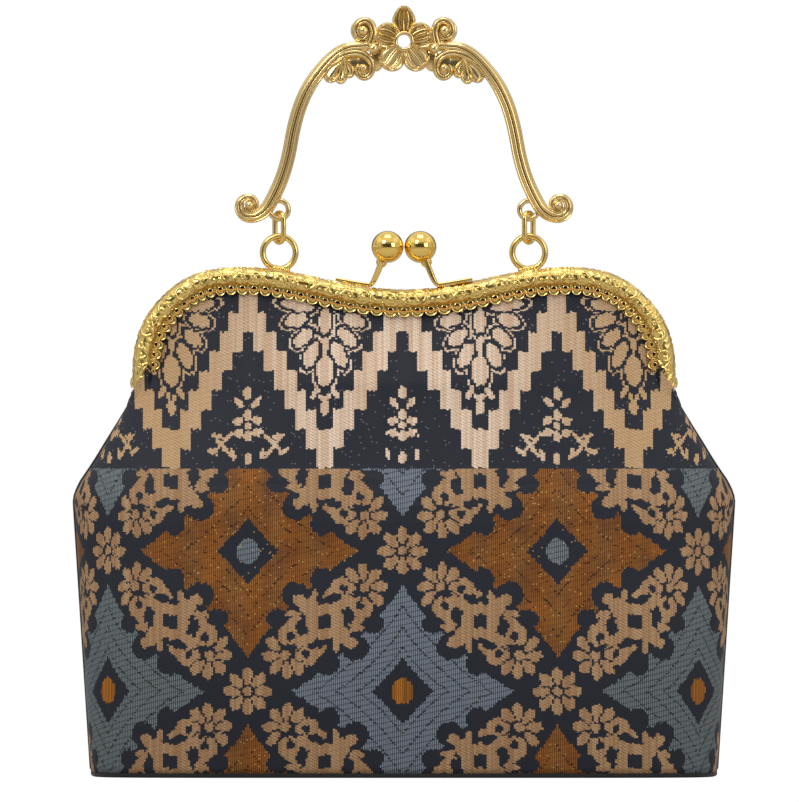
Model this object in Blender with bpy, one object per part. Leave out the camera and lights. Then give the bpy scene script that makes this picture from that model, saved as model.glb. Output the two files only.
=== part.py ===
"""Kiss lock handbag: a woven cloth bag on a hinged brass frame with two clasp balls and a cast handle.

Metres, +Z up. The front faces -Y, the base is flat on z = 0 and the bag is centred on x = 0.
"""

import math

import bmesh
import bpy
from mathutils import Matrix, Vector

MM = 0.001

# General
CLEARANCE = 0.3 * MM

# Cloth bag
CLOTH_THICKNESS = 1.2 * MM
LINING_THICKNESS = 0.8 * MM
BASE_PANEL_THICKNESS = 1.5 * MM
BASE_BOARD_THICKNESS = 2.0 * MM
BASE_HALF_WIDTH = 118.6 * MM
BASE_HALF_DEPTH = 38.0 * MM
SHOULDER_HEIGHT = 108.0 * MM
SHOULDER_HALF_WIDTH = 125.5 * MM
SHOULDER_HALF_DEPTH = 32.0 * MM
BELLY_BULGE = 2.5 * MM
NECK_HALF_DEPTH = 16.5 * MM
BASE_SQUARENESS = 7.0
SHOULDER_SQUARENESS = 4.6
NECK_SQUARENESS = 2.6
SHOULDER_ROUNDING = 5.0 * MM
SWING_CLEARANCE = 0.8 * MM
LEAST_CLOTH_HEIGHT = 1.5 * MM
LEAST_CLOTH_DEPTH = 1.4 * MM
LEAST_LINING_DEPTH = 0.4 * MM
LINING_RIM_DROP = 1.0 * MM
RIM_SLOPE_START = 9.0 * MM
RIM_SLOPE_LENGTH = 7.0 * MM

# Frame
FRAME_HALF_WIDTH = 103.0 * MM
HINGE_HEIGHT = 149.0 * MM
LEG_BELOW_HINGE = 4.6 * MM
FRAME_DIP_RISE = 35.3 * MM
FRAME_HUMP_RISE = 43.8 * MM
FRAME_HUMP_X = 62.4 * MM
FRAME_CORNER_INSET = 12.0 * MM
FRAME_CORNER_DROP = 10.2 * MM
TUBE_HEIGHT = 7.6 * MM
TUBE_DEPTH = 6.4 * MM
TUBE_LIP = 0.45 * MM
TUBE_SHOULDER = 1.2 * MM
TUBE_CREST_SHARE = 0.34
TUBE_SHOULDER_SHARE = 0.8
LEG_TUCK = 0.6 * MM
FRAME_WALL = 0.9 * MM
FLANGE_DEPTH = 4.6 * MM
FLANGE_HEIGHT = 2.9 * MM
SCALLOP_DEPTH = 0.8 * MM
SCALLOP_COUNT = 57
SEWING_HOLE_RADIUS = 0.6 * MM
LUG_RADIUS = 4.2 * MM
RIVET_RADIUS = 1.1 * MM
RIVET_HEAD_RADIUS = 2.3 * MM
RIVET_HEAD_HEIGHT = 0.9 * MM

# Kiss lock
BALL_RADIUS = 6.1 * MM
BALL_GAP = 0.3 * MM
BALL_RISE = 16.4 * MM
BALL_CROSSING = 0.8 * MM
ARM_WIDTH = 3.2 * MM
ARM_THICKNESS = 1.5 * MM
ARM_BEND_X = 12.0 * MM
ARM_FOOT_END_X = 26.0 * MM
ARM_BEND_START = 1.6 * MM
ARM_BEND_LEAD = 1.5 * MM
ARM_EDGE = 0.35 * MM
PEG_RADIUS = 1.0 * MM
PEG_DEPTH = 1.8 * MM
PEG_ROOT = 1.2 * MM
BALL_SEAT_GAP = 0.2 * MM

# Rings and links
RING_X = 47.5 * MM
RING_OUTER_RADIUS = 7.3 * MM
RING_WIRE_RADIUS = 1.05 * MM
RING_LIFT = 0.7 * MM
RING_FOOT_LENGTH = 5.0 * MM
RING_FOOT_WIDTH = 2.6 * MM
RING_FOOT_HEIGHT = 1.6 * MM
CARRIER_DEPTH = 2.7 * MM
LINK_WIRE_RADIUS = 1.0 * MM
LINK_INNER_GAP = 4.6 * MM
LINK_END_GAP = 0.3 * MM
LINK_TURN = math.radians(30)
LINK_PIVOT_DISTANCE = 6.5 * MM

# Handle
EYE_WIRE_RADIUS = 1.0 * MM
EYE_RADIUS = 3.5 * MM
HANDLE_LEG_WIDTH = 4.9 * MM
HANDLE_LEG_DEPTH = 4.2 * MM
HANDLE_RIB = 0.22 * MM
HANDLE_RISE = 65.6 * MM
LEG_BEND = (43.1 * MM, 28.6 * MM)
LEG_SHOULDER = (32.3 * MM, 56.0 * MM)
LEG_CROWN_X = 18.5 * MM
LEG_END = (7.0 * MM, 0.5 * MM)
SCROLL_X = 58.9 * MM
SCROLL_LIFT = 5.1 * MM
SCROLL_TURNS = 1.2
SCROLL_INNER_RADIUS = 1.5 * MM
SCROLL_OUTER_RADIUS = 4.4 * MM
LEG_JOIN = (3.7 * MM, 5.6 * MM)
SCROLL_END = (2.0 * MM, 1.7 * MM)
FLOWER_RISE = 2.0 * MM
FLOWER_HOLE_RADIUS = 2.6 * MM
FLOWER_HUB_RADIUS = 4.6 * MM
PETAL_REACH = 11.6 * MM
TOP_PETAL_REACH = 13.8 * MM
PETAL_WIDTH = 9.0 * MM
PETAL_THICKNESS = 2.6 * MM
VOLUTE_WIRE = 1.25 * MM
VOLUTE_END = (1.9 * MM, 1.5 * MM)
UPPER_VOLUTE = (15.4 * MM, 6.2 * MM, 4.4 * MM)
LOWER_VOLUTE = (15.4 * MM, -7.6 * MM, 4.2 * MM)
VOLUTE_LEAD = (21.5 * MM, -1.6 * MM)
SHELL_LEAF = (23.4 * MM, -4.8 * MM, 5.0 * MM)
BEAD = (11.4 * MM, -0.8 * MM, 2.0 * MM)
BEAD_HALF_DEPTH = 1.9 * MM

CLOTH_BOTTOM = BASE_PANEL_THICKNESS + CLEARANCE
LINING_OFFSET = CLOTH_THICKNESS + CLEARANCE
LUG_THICKNESS = FRAME_WALL
COLLAR_RADIUS = LUG_RADIUS + 2 * CLEARANCE
FRAME_DIP_HEIGHT = HINGE_HEIGHT + FRAME_DIP_RISE
FRAME_HUMP_HEIGHT = HINGE_HEIGHT + FRAME_HUMP_RISE
BALL_HEIGHT = FRAME_DIP_HEIGHT + BALL_RISE


def add_material(name, colour, roughness, metallic):
    material = bpy.data.materials.new(name)
    material.use_nodes = True
    shader = material.node_tree.nodes["Principled BSDF"]
    shader.inputs["Base Color"].default_value = (*colour, 1.0)
    shader.inputs["Roughness"].default_value = roughness
    shader.inputs["Metallic"].default_value = metallic
    return material


def add_mesh(name, points, faces, material=None):
    mesh = bpy.data.meshes.new(name)
    mesh.from_pydata([tuple(point) for point in points], [], faces)
    mesh.update()
    obj = bpy.data.objects.new(name, mesh)
    bpy.context.scene.collection.objects.link(obj)
    if material:
        mesh.materials.append(material)
    return obj


def outward(obj):
    """Turns the faces of a closed mesh outwards."""
    shape = bmesh.new()
    shape.from_mesh(obj.data)
    bmesh.ops.recalc_face_normals(shape, faces=shape.faces)
    shape.to_mesh(obj.data)
    shape.free()
    return obj


def smooth(obj, degrees=40):
    obj.data.shade_smooth()
    obj.data.set_sharp_from_angle(angle=math.radians(degrees))
    return obj


def hide_cutter(obj):
    obj.hide_render = True
    obj.display_type = "WIRE"
    return obj


def boolean(obj, other, operation):
    cut = obj.modifiers.new(f"{operation.lower()}_{other.name}", "BOOLEAN")
    cut.operation = operation
    cut.solver = "EXACT"
    cut.object = other
    hide_cutter(other)


def set_origin(obj, point):
    """Moves the origin to a point and leaves the shape where it is."""
    obj.data.transform(Matrix.Translation(-Vector(point)))
    obj.location = point


def smoothstep(t):
    t = min(max(t, 0.0), 1.0)
    return t * t * (3 - 2 * t)


def mix(a, b, t):
    return a + (b - a) * t


def bezier(p0, p1, p2, p3, t):
    u = 1 - t
    return p0 * u**3 + p1 * 3 * u * u * t + p2 * 3 * u * t * t + p3 * t**3


# Bag outline: half width, half depth and squareness of the level section at each height

def bag_half_width(z):
    if z <= SHOULDER_HEIGHT:
        width = mix(BASE_HALF_WIDTH, SHOULDER_HALF_WIDTH, z / SHOULDER_HEIGHT)
    else:
        rise = (z - SHOULDER_HEIGHT) / (HINGE_HEIGHT - LEG_BELOW_HINGE - SHOULDER_HEIGHT)
        width = mix(SHOULDER_HALF_WIDTH, FRAME_HALF_WIDTH, min(rise, 1.0))
    blunt = max(0.0, 1 - abs(z - SHOULDER_HEIGHT) / SHOULDER_ROUNDING)
    return width - 0.25 * SHOULDER_ROUNDING * blunt * blunt


def bag_half_depth(z):
    if z <= SHOULDER_HEIGHT:
        rise = z / SHOULDER_HEIGHT
        belly = BELLY_BULGE * math.sin(math.pi * min(1.0, 1.3 * rise))
        return mix(BASE_HALF_DEPTH, SHOULDER_HALF_DEPTH, rise * rise) + belly
    rise = (z - SHOULDER_HEIGHT) / (HINGE_HEIGHT - SHOULDER_HEIGHT)
    slope = mix(SHOULDER_HALF_DEPTH, NECK_HALF_DEPTH, min(rise, 1.0))
    return slope + BELLY_BULGE * math.sin(math.pi * 1.3) * (1 - min(rise, 1.0))


def bag_squareness(z):
    if z <= SHOULDER_HEIGHT:
        return mix(BASE_SQUARENESS, SHOULDER_SQUARENESS, z / SHOULDER_HEIGHT)
    rise = (z - SHOULDER_HEIGHT) / (HINGE_HEIGHT - SHOULDER_HEIGHT)
    return mix(SHOULDER_SQUARENESS, NECK_SQUARENESS, min(rise, 1.0))


def bag_depth_at(x, z, inset):
    """Depth of the cloth's section at x, for the surface that lies inset inside the outer one."""
    half_width = bag_half_width(z) - inset
    share = min(abs(x) / half_width, 1.0)
    power = bag_squareness(z)
    return max(0.0, 1 - share**power) ** (1 / power) * (bag_half_depth(z) - inset)


def section_point(angle, z, inset):
    """Point of the level section at an angle measured from -Y, as a rounded rectangle."""
    power = bag_squareness(z)
    side = math.sin(angle)
    front = math.cos(angle)
    x = math.copysign(abs(side) ** (2 / power), side) * (bag_half_width(z) - inset)
    y = -math.copysign(abs(front) ** (2 / power), front) * (bag_half_depth(z) - inset)
    return Vector((x, y, z))


# Frame path: one half in bezier knots, mirrored; each point with its outward direction

def frame_knots():
    corner = Vector((FRAME_HALF_WIDTH - FRAME_CORNER_INSET, 0, FRAME_HUMP_HEIGHT - FRAME_CORNER_DROP))
    return [
        (Vector((0, 0, FRAME_DIP_HEIGHT)), Vector((1, 0, 0))),
        (Vector((FRAME_HUMP_X, 0, FRAME_HUMP_HEIGHT)), Vector((1, 0, 0))),
        (corner, Vector((0.72, 0, -0.69)).normalized()),
        (Vector((FRAME_HALF_WIDTH, 0, HINGE_HEIGHT + LUG_RADIUS)), Vector((0, 0, -1))),
        (Vector((FRAME_HALF_WIDTH, 0, HINGE_HEIGHT - LEG_BELOW_HINGE)), Vector((0, 0, -1))),
    ]


def frame_half_path(per_span=60):
    points = []
    knots = frame_knots()
    for (start, start_way), (end, end_way) in zip(knots, knots[1:]):
        reach = (end - start).length * 0.38
        for i in range(per_span):
            points.append(bezier(start, start + start_way * reach, end - end_way * reach, end, i / per_span))
    points.append(knots[-1][0])
    return points


def resample(points, count):
    """Points at equal steps along a line, with the direction of the line at each."""
    lengths = [0.0]
    for a, b in zip(points, points[1:]):
        lengths.append(lengths[-1] + (b - a).length)
    result = []
    k = 0
    for i in range(count):
        target = lengths[-1] * i / (count - 1)
        while k < len(points) - 2 and lengths[k + 1] < target:
            k += 1
        share = (target - lengths[k]) / (lengths[k + 1] - lengths[k])
        result.append((points[k].lerp(points[k + 1], share), (points[k + 1] - points[k]).normalized()))
    return result


def frame_path():
    half = frame_half_path()
    whole = [Vector((-p.x, 0, p.z)) for p in reversed(half[1:])] + half
    return whole


def frame_stations(count):
    """Stations from the left leg end to the right one, each with its place and outward direction."""
    stations = []
    for place, way in resample(frame_path(), count):
        stations.append((place, Vector((-way.z, 0, way.x))))
    return stations


def frame_top(x):
    """Height of the frame's outer edge above a point on the x axis."""
    half = frame_half_path()
    for a, b in zip(half, half[1:]):
        if a.x <= abs(x) <= b.x:
            return mix(a.z, b.z, (abs(x) - a.x) / max(b.x - a.x, 1e-9))
    return HINGE_HEIGHT


def inner_edge_height(x, inset):
    """Height at x of the line that lies inset inside the frame's outer edge."""
    best = HINGE_HEIGHT
    stations = frame_stations(400)
    line = [place - out * inset for place, out in stations]
    for a, b in zip(line, line[1:]):
        low, high = sorted((a.x, b.x))
        if low <= x <= high and high > low:
            best = max(best, mix(a.z, b.z, (x - a.x) / (b.x - a.x)))
    return best


# Frame halves: the stamped section carried along the path, with scallops and sewing holes

def frame_section():
    """(depth from the meeting plane, distance inside the outer edge) over the tube's front."""
    gap = CLEARANCE / 2
    crown = TUBE_HEIGHT * 0.5
    return [
        (gap, TUBE_LIP),
        (TUBE_DEPTH * TUBE_CREST_SHARE, 0.0),
        (TUBE_DEPTH * TUBE_SHOULDER_SHARE, TUBE_SHOULDER),
        (TUBE_DEPTH, crown),
        (FLANGE_DEPTH, TUBE_HEIGHT),
    ]


def leg_shear(along, total, depth):
    """Draws the leg end up towards the meeting plane, so that the halves turn clear of each other."""
    reach = 3.0 * LUG_RADIUS
    from_end = min(along, total - along)
    share = max(0.0, 1 - from_end / reach)
    pull = share * share * (LEG_BELOW_HINGE + LEG_TUCK) * max(0.0, 1 - depth / TUBE_DEPTH)
    return pull if along < total / 2 else -pull


def frame_half_mesh(name, side, material):
    """side is -1 for the front half and 1 for the back one."""
    stations = frame_stations(SCALLOP_COUNT + 1)
    total = sum((b[0] - a[0]).length for a, b in zip(stations, stations[1:]))
    pitch = total / SCALLOP_COUNT
    fine = resample(frame_path(), 1200)

    def place(along, depth, inside):
        along = along + leg_shear(along, total, depth)
        share = min(max(along / total, 0.0), 1.0) * (len(fine) - 1)
        k = min(int(share), len(fine) - 2)
        point = fine[k][0].lerp(fine[k + 1][0], share - k)
        way = fine[k][1].lerp(fine[k + 1][1], share - k).normalized()
        out = Vector((-way.z, 0, way.x))
        return point - out * inside + Vector((0, side * depth, 0))

    section = frame_section()
    points = []
    faces = []

    def add(point):
        points.append(point)
        return len(points) - 1

    rows = []
    for i in range(SCALLOP_COUNT + 1):
        rows.append([add(place(pitch * i, depth, inside)) for depth, inside in section])
    for lower, upper in zip(rows, rows[1:]):
        for j in range(len(section) - 1):
            faces.append((lower[j], lower[j + 1], upper[j + 1], upper[j]))

    # Flange: each scallop is a fan of quads between its sewing hole and its rounded edge
    hole_inside = TUBE_HEIGHT + FLANGE_HEIGHT * 0.5
    edge_inside = TUBE_HEIGHT + FLANGE_HEIGHT
    notches = [add(place(pitch * i, FLANGE_DEPTH, edge_inside - SCALLOP_DEPTH)) for i in range(SCALLOP_COUNT + 1)]
    for i in range(SCALLOP_COUNT):
        centre = pitch * (i + 0.5)
        ring = []
        for k in range(6):
            angle = math.radians(60 * k + 30)
            ring.append(
                add(
                    place(
                        centre + math.cos(angle) * SEWING_HOLE_RADIUS,
                        FLANGE_DEPTH,
                        hole_inside - math.sin(angle) * SEWING_HOLE_RADIUS,
                    )
                )
            )
        bulge_left = add(place(centre - pitch * 0.26, FLANGE_DEPTH, edge_inside - SCALLOP_DEPTH * 0.15))
        bulge_right = add(place(centre + pitch * 0.26, FLANGE_DEPTH, edge_inside - SCALLOP_DEPTH * 0.15))
        left_root, right_root = rows[i][-1], rows[i + 1][-1]
        faces.append((right_root, ring[1], ring[0]))
        faces.append((right_root, left_root, ring[1]))
        faces.append((left_root, ring[2], ring[1]))
        faces.append((left_root, notches[i], ring[3], ring[2]))
        faces.append((notches[i], bulge_left, ring[3]))
        faces.append((bulge_left, bulge_right, ring[4], ring[3]))
        faces.append((bulge_right, ring[5], ring[4]))
        faces.append((bulge_right, notches[i + 1], ring[5]))
        faces.append((notches[i + 1], right_root, ring[0], ring[5]))

    obj = add_mesh(name, points, faces, material)
    shape = bmesh.new()
    shape.from_mesh(obj.data)
    bmesh.ops.recalc_face_normals(shape, faces=shape.faces)
    outer = max(shape.faces, key=lambda face: face.calc_center_median().z)
    if outer.normal.z < 0:
        bmesh.ops.reverse_faces(shape, faces=shape.faces)
    shape.to_mesh(obj.data)
    shape.free()
    wall = obj.modifiers.new("stamped_wall", "SOLIDIFY")
    wall.thickness = FRAME_WALL
    wall.offset = -1
    wall.use_even_offset = False
    return smooth(obj)


def x_cylinder(name, x, radius, length, y=0.0, z=HINGE_HEIGHT, sides=24):
    shape = bmesh.new()
    bmesh.ops.create_cone(
        shape, cap_ends=True, segments=sides, radius1=radius, radius2=radius, depth=length,
        matrix=Matrix.Translation((x, y, z)) @ Matrix.Rotation(math.pi / 2, 4, "Y"),
    )
    mesh = bpy.data.meshes.new(name)
    shape.to_mesh(mesh)
    shape.free()
    obj = bpy.data.objects.new(name, mesh)
    bpy.context.scene.collection.objects.link(obj)
    return obj


def prism_x(name, outline, x_low, x_high):
    """Closed prism along X over a (y, z) outline."""
    points = [Vector((x_low, y, z)) for y, z in outline] + [Vector((x_high, y, z)) for y, z in outline]
    n = len(outline)
    faces = [tuple(range(n)), tuple(range(2 * n - 1, n - 1, -1))]
    faces += [(i, (i + 1) % n, n + (i + 1) % n, n + i) for i in range(n)]
    return outward(add_mesh(name, points, faces))


def lug_layers():
    """(low, high) distance from the bag's middle of the front half's lug and of the back half's."""
    outer = (FRAME_HALF_WIDTH - LUG_THICKNESS, FRAME_HALF_WIDTH)
    inner_high = outer[0] - CLEARANCE
    return outer, (inner_high - LUG_THICKNESS, inner_high)


def build_frame_halves(material):
    outer_layer, inner_layer = lug_layers()
    front = frame_half_mesh("front_frame", -1, material)
    back = frame_half_mesh("back_frame", 1, material)
    for sign, label in ((-1, "left"), (1, "right")):
        # The front leg is hollowed from inside, to clear the back half's ear
        middle = sign * sum(outer_layer) / 2
        hollow_low = inner_layer[0] - CLEARANCE
        hollow_high = outer_layer[0] + LUG_THICKNESS / 4
        hollow = x_cylinder(f"cut_ear_hollow_{label}", sign * (hollow_low + hollow_high) / 2, COLLAR_RADIUS,
                            hollow_high - hollow_low)
        boolean(front, hollow, "DIFFERENCE")
        # Front lug: a round ear that continues the leg's outer wall
        ear = x_cylinder(f"cut_front_lug_{label}", middle, LUG_RADIUS, LUG_THICKNESS)
        boolean(front, ear, "UNION")
        # Back leg: its outer wall is cut away round that ear
        room = x_cylinder(f"cut_ear_room_{label}", sign * FRAME_HALF_WIDTH, COLLAR_RADIUS,
                          2 * (2 * LUG_THICKNESS + CLEARANCE))
        boolean(back, room, "DIFFERENCE")
        # Back lug: an ear one wall further in, joined to the leg's side wall by a web
        wall_reach = TUBE_DEPTH * TUBE_SHOULDER_SHARE - FRAME_WALL * 0.3

        def lug_edge(degrees):
            turn = math.radians(degrees)
            return math.sin(turn) * LUG_RADIUS, HINGE_HEIGHT - math.cos(turn) * LUG_RADIUS

        outline = [lug_edge(degrees) for degrees in range(0, 60, 15)]
        outline += [
            (wall_reach, HINGE_HEIGHT - LUG_RADIUS * 0.3),
            (wall_reach, HINGE_HEIGHT + 3.2 * LUG_RADIUS),
            (FRAME_WALL, HINGE_HEIGHT + 2.6 * LUG_RADIUS),
        ]
        outline += [lug_edge(degrees) for degrees in range(180, 360, 15)]
        low, high = sorted((sign * inner_layer[0], sign * inner_layer[1]))
        web = prism_x(f"cut_back_lug_{label}", outline, low, high)
        boolean(back, web, "UNION")
        for half, tag in ((front, "front"), (back, "back")):
            bore = x_cylinder(f"cut_{tag}_bore_{label}", middle, RIVET_RADIUS + CLEARANCE, 10 * LUG_THICKNESS, sides=16)
            boolean(half, bore, "DIFFERENCE")
    for half in (front, back):
        set_origin(half, (0, 0, HINGE_HEIGHT))


def build_rivets(material):
    """Rivet with a head on each side of the two lugs, turned on the hinge axis."""
    outer_layer, inner_layer = lug_layers()
    outside = outer_layer[1] + CLEARANCE
    inside = inner_layer[0] - CLEARANCE
    for sign, label in ((-1, "left"), (1, "right")):
        profile = [
            (outside + RIVET_HEAD_HEIGHT, 0.0),
            (outside + RIVET_HEAD_HEIGHT * 0.75, RIVET_HEAD_RADIUS * 0.62),
            (outside, RIVET_HEAD_RADIUS),
            (outside, RIVET_RADIUS),
            (inside, RIVET_RADIUS),
            (inside, RIVET_HEAD_RADIUS * 0.85),
            (inside - RIVET_HEAD_HEIGHT, RIVET_HEAD_RADIUS * 0.6),
            (inside - RIVET_HEAD_HEIGHT, 0.0),
        ]
        rivet = turned(f"{label}_hinge_rivet", profile, Vector((sign, 0, 0)), Vector((0, 0, 0)), 16, material)
        set_origin(rivet, (0, 0, 0))
        rivet.location = (0, 0, HINGE_HEIGHT)


def turned(name, profile, axis, start, sides, material):
    """Turned solid: profile points are (distance along the axis, radius), with both ends on the axis."""
    axis = axis.normalized()
    across = axis.orthogonal().normalized()
    third = axis.cross(across)
    points = []
    rings = []
    for along, radius in profile:
        if radius <= 0:
            points.append(start + axis * along)
            rings.append([len(points) - 1] * sides)
            continue
        ring = []
        for k in range(sides):
            angle = 2 * math.pi * k / sides
            way = across * math.cos(angle) + third * math.sin(angle)
            points.append(start + axis * along + way * radius)
            ring.append(len(points) - 1)
        rings.append(ring)
    faces = []
    for a, b in zip(rings, rings[1:]):
        for k in range(sides):
            face = [a[k], a[(k + 1) % sides], b[(k + 1) % sides], b[k]]
            faces.append(tuple(dict.fromkeys(face)))
    return smooth(outward(add_mesh(name, points, faces, material)))


def sweep(name, path, section, material=None, closed=False, up=Vector((0, 1, 0)), scale=None):
    """Closed solid: section (across, up) points carried along a path in a plane square to up."""
    count = len(path)
    points = []
    rings = []
    for i, place in enumerate(path):
        before = path[i - 1] if closed or i else path[0]
        after = path[(i + 1) % count] if closed or i < count - 1 else path[-1]
        way = (after - before).normalized()
        across = way.cross(up).normalized()
        lift = across.cross(way).normalized()
        size = scale(i / (count - 1)) if scale else 1.0
        rings.append([])
        for a, b in section:
            points.append(place + across * a * size + lift * b * size)
            rings[-1].append(len(points) - 1)
    faces = []
    n = len(section)
    pairs = list(zip(rings, rings[1:]))
    if closed:
        pairs.append((rings[-1], rings[0]))
    else:
        faces += [tuple(rings[0]), tuple(reversed(rings[-1]))]
    for a, b in pairs:
        faces += [(a[k], a[(k + 1) % n], b[(k + 1) % n], b[k]) for k in range(n)]
    return smooth(outward(add_mesh(name, points, faces, material)), 60)


def round_section(radius, sides):
    return [(math.cos(2 * math.pi * k / sides) * radius, math.sin(2 * math.pi * k / sides) * radius)
            for k in range(sides)]


# Kiss lock: a bent arm on each half, with a turned ball on its peg

def ball_place(side):
    """side is -1 for the front half, whose ball stands on the right, and 1 for the back half."""
    x = -side * (BALL_RADIUS + BALL_GAP / 2)
    return Vector((x, -side * BALL_CROSSING, BALL_HEIGHT))


def build_clasp(side, label, arm_material, ball_material):
    turn = -side
    ball = ball_place(side)
    seat_y = side * TUBE_DEPTH * TUBE_CREST_SHARE
    lift = CLEARANCE + ARM_THICKNESS / 2
    bend = Vector((turn * ARM_BEND_X, seat_y, frame_top(ARM_BEND_X) + lift))
    foot = []
    steps = 5
    for i in range(steps):
        x = mix(ARM_FOOT_END_X, ARM_BEND_X + ARM_BEND_START, i / (steps - 1))
        foot.append(Vector((turn * x, seat_y, frame_top(x) + lift)))
    direction = (bend - ball).normalized()
    top = ball + direction * (BALL_RADIUS + BALL_SEAT_GAP)
    rise = []
    for i in range(1, 6):
        rise.append(bezier(foot[-1], bend, bend - direction * ARM_BEND_LEAD, top, i / 5))
    half_width = ARM_WIDTH / 2
    half_thick = ARM_THICKNESS / 2
    flat_width = half_width - ARM_EDGE
    flat_thick = half_thick - ARM_EDGE
    section = [
        (-half_thick, -flat_width), (-flat_thick, -half_width), (flat_thick, -half_width), (half_thick, -flat_width),
        (half_thick, flat_width), (flat_thick, half_width), (-flat_thick, half_width), (-half_thick, flat_width),
    ]
    arm = sweep(f"{label}_kiss_arm", foot + rise, section, arm_material)
    peg = turned(f"cut_{label}_peg", [(-PEG_ROOT, 0), (-PEG_ROOT, PEG_RADIUS), (PEG_DEPTH, PEG_RADIUS), (PEG_DEPTH, 0)],
                 -direction, top, 12, None)
    boolean(arm, peg, "UNION")
    shape = bmesh.new()
    bmesh.ops.create_uvsphere(shape, u_segments=20, v_segments=12, radius=BALL_RADIUS)
    mesh = bpy.data.meshes.new(f"{label}_kiss_ball")
    shape.to_mesh(mesh)
    shape.free()
    knob = bpy.data.objects.new(f"{label}_kiss_ball", mesh)
    knob.location = ball
    mesh.materials.append(ball_material)
    bpy.context.scene.collection.objects.link(knob)
    socket_radius = PEG_RADIUS + CLEARANCE
    socket_reach = PEG_DEPTH + CLEARANCE
    socket = turned(f"cut_{label}_socket",
                    [(-PEG_ROOT, 0), (-PEG_ROOT, socket_radius), (socket_reach, socket_radius), (socket_reach, 0)],
                    -direction, top, 12, None)
    boolean(knob, socket, "DIFFERENCE")
    smooth(knob, 60)


# Rings, links and handle hang in one plane behind the front half, on the back half

def ring_centre_height():
    return frame_top(RING_X) + CLEARANCE - RING_LIFT + RING_OUTER_RADIUS


def ring_pivot_height():
    return ring_centre_height() + RING_OUTER_RADIUS - RING_WIRE_RADIUS


def handle_pivot_height():
    return ring_pivot_height() + LINK_PIVOT_DISTANCE


def build_ring(sign, label, material):
    middle = RING_OUTER_RADIUS - RING_WIRE_RADIUS
    centre = Vector((sign * RING_X, CARRIER_DEPTH, ring_centre_height()))
    path = [centre + Vector((math.sin(a) * middle, 0, math.cos(a) * middle))
            for a in (2 * math.pi * k / 24 for k in range(24))]
    ring = sweep(f"{label}_frame_ring", path, round_section(RING_WIRE_RADIUS, 6), material, closed=True)
    seat = frame_top(RING_X) + CLEARANCE
    slope = (frame_top(RING_X + RING_FOOT_LENGTH / 2) - frame_top(RING_X - RING_FOOT_LENGTH / 2)) / RING_FOOT_LENGTH
    tilt = Matrix.Rotation(-math.atan(slope) * sign, 4, "Y")

    def block(name, length, width, low, high):
        shape = bmesh.new()
        bmesh.ops.create_cube(shape, size=1, matrix=Matrix.Diagonal((length, width, high - low, 1)))
        bmesh.ops.translate(shape, verts=shape.verts, vec=(0, 0, (low + high) / 2))
        bmesh.ops.transform(shape, matrix=Matrix.Translation((centre.x, centre.y, seat)) @ tilt, verts=shape.verts)
        mesh = bpy.data.meshes.new(name)
        shape.to_mesh(mesh)
        shape.free()
        obj = bpy.data.objects.new(name, mesh)
        bpy.context.scene.collection.objects.link(obj)
        return obj

    foot = block(f"cut_{label}_ring_foot", RING_FOOT_LENGTH, RING_FOOT_WIDTH, -RING_LIFT, RING_FOOT_HEIGHT)
    floor = block(f"cut_{label}_ring_floor", 4 * RING_FOOT_LENGTH, 4 * RING_FOOT_WIDTH, -4 * RING_LIFT, 0)
    boolean(ring, foot, "UNION")
    boolean(ring, floor, "DIFFERENCE")


def build_link(sign, label, material):
    half_width = LINK_INNER_GAP / 2 + LINK_WIRE_RADIUS
    end_rise = RING_WIRE_RADIUS + LINK_END_GAP + LINK_WIRE_RADIUS
    turn = sign * LINK_TURN
    across = Vector((math.sin(turn), math.cos(turn), 0))
    low = ring_pivot_height()
    path = []
    for height, start in ((handle_pivot_height(), 0.0), (low, math.pi)):
        for k in range(9):
            angle = start + math.pi * k / 8
            end = Vector((sign * RING_X, CARRIER_DEPTH, height + math.sin(angle) * end_rise))
            path.append(end + across * math.cos(angle) * half_width)
    flat_way = Vector((math.cos(turn), -math.sin(turn), 0))
    link = sweep(f"{label}_link", path, round_section(LINK_WIRE_RADIUS, 8), material, closed=True, up=flat_way)
    set_origin(link, (0, CARRIER_DEPTH, low))


def handle_top():
    return handle_pivot_height() + HANDLE_RISE


def handle_leg_path():
    """Centre line of the right leg, from the middle of its scroll foot up to the ornament."""
    pivot = handle_pivot_height()
    middle = Vector((SCROLL_X, CARRIER_DEPTH, pivot + SCROLL_LIFT))
    points = spiral_out(middle, SCROLL_INNER_RADIUS, SCROLL_OUTER_RADIUS, SCROLL_TURNS)

    def knot(x, z, way_x, way_z):
        return Vector((x, CARRIER_DEPTH, z)), Vector((way_x, 0, way_z)).normalized()

    knots = [
        (points.pop(), Vector((-1, 0, 0))),
        knot(RING_X + LEG_JOIN[0], pivot + LEG_JOIN[1], -0.5, 0.87),
        knot(LEG_BEND[0], pivot + LEG_BEND[1], -0.17, 0.98),
        knot(LEG_SHOULDER[0], pivot + LEG_SHOULDER[1], -0.62, 0.78),
        knot(LEG_CROWN_X, handle_top(), -1, 0.05),
        knot(LEG_END[0], handle_top() + LEG_END[1], -1, 0),
    ]
    for (start, start_way), (end, end_way) in zip(knots, knots[1:]):
        reach = (end - start).length * 0.36
        for i in range(20):
            points.append(bezier(start, start + start_way * reach, end - end_way * reach, end, i / 20))
    points.append(knots[-1][0])
    return points


def fluted_section(width, depth, ribs=3):
    """Flat oval with ribs along its front."""
    section = []
    sides = 12
    for k in range(sides):
        angle = 2 * math.pi * k / sides
        flute = HANDLE_RIB * math.cos(ribs * 2 * angle)
        section.append((math.cos(angle) * (width / 2 + flute), math.sin(angle) * (depth / 2 + flute)))
    return section


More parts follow.
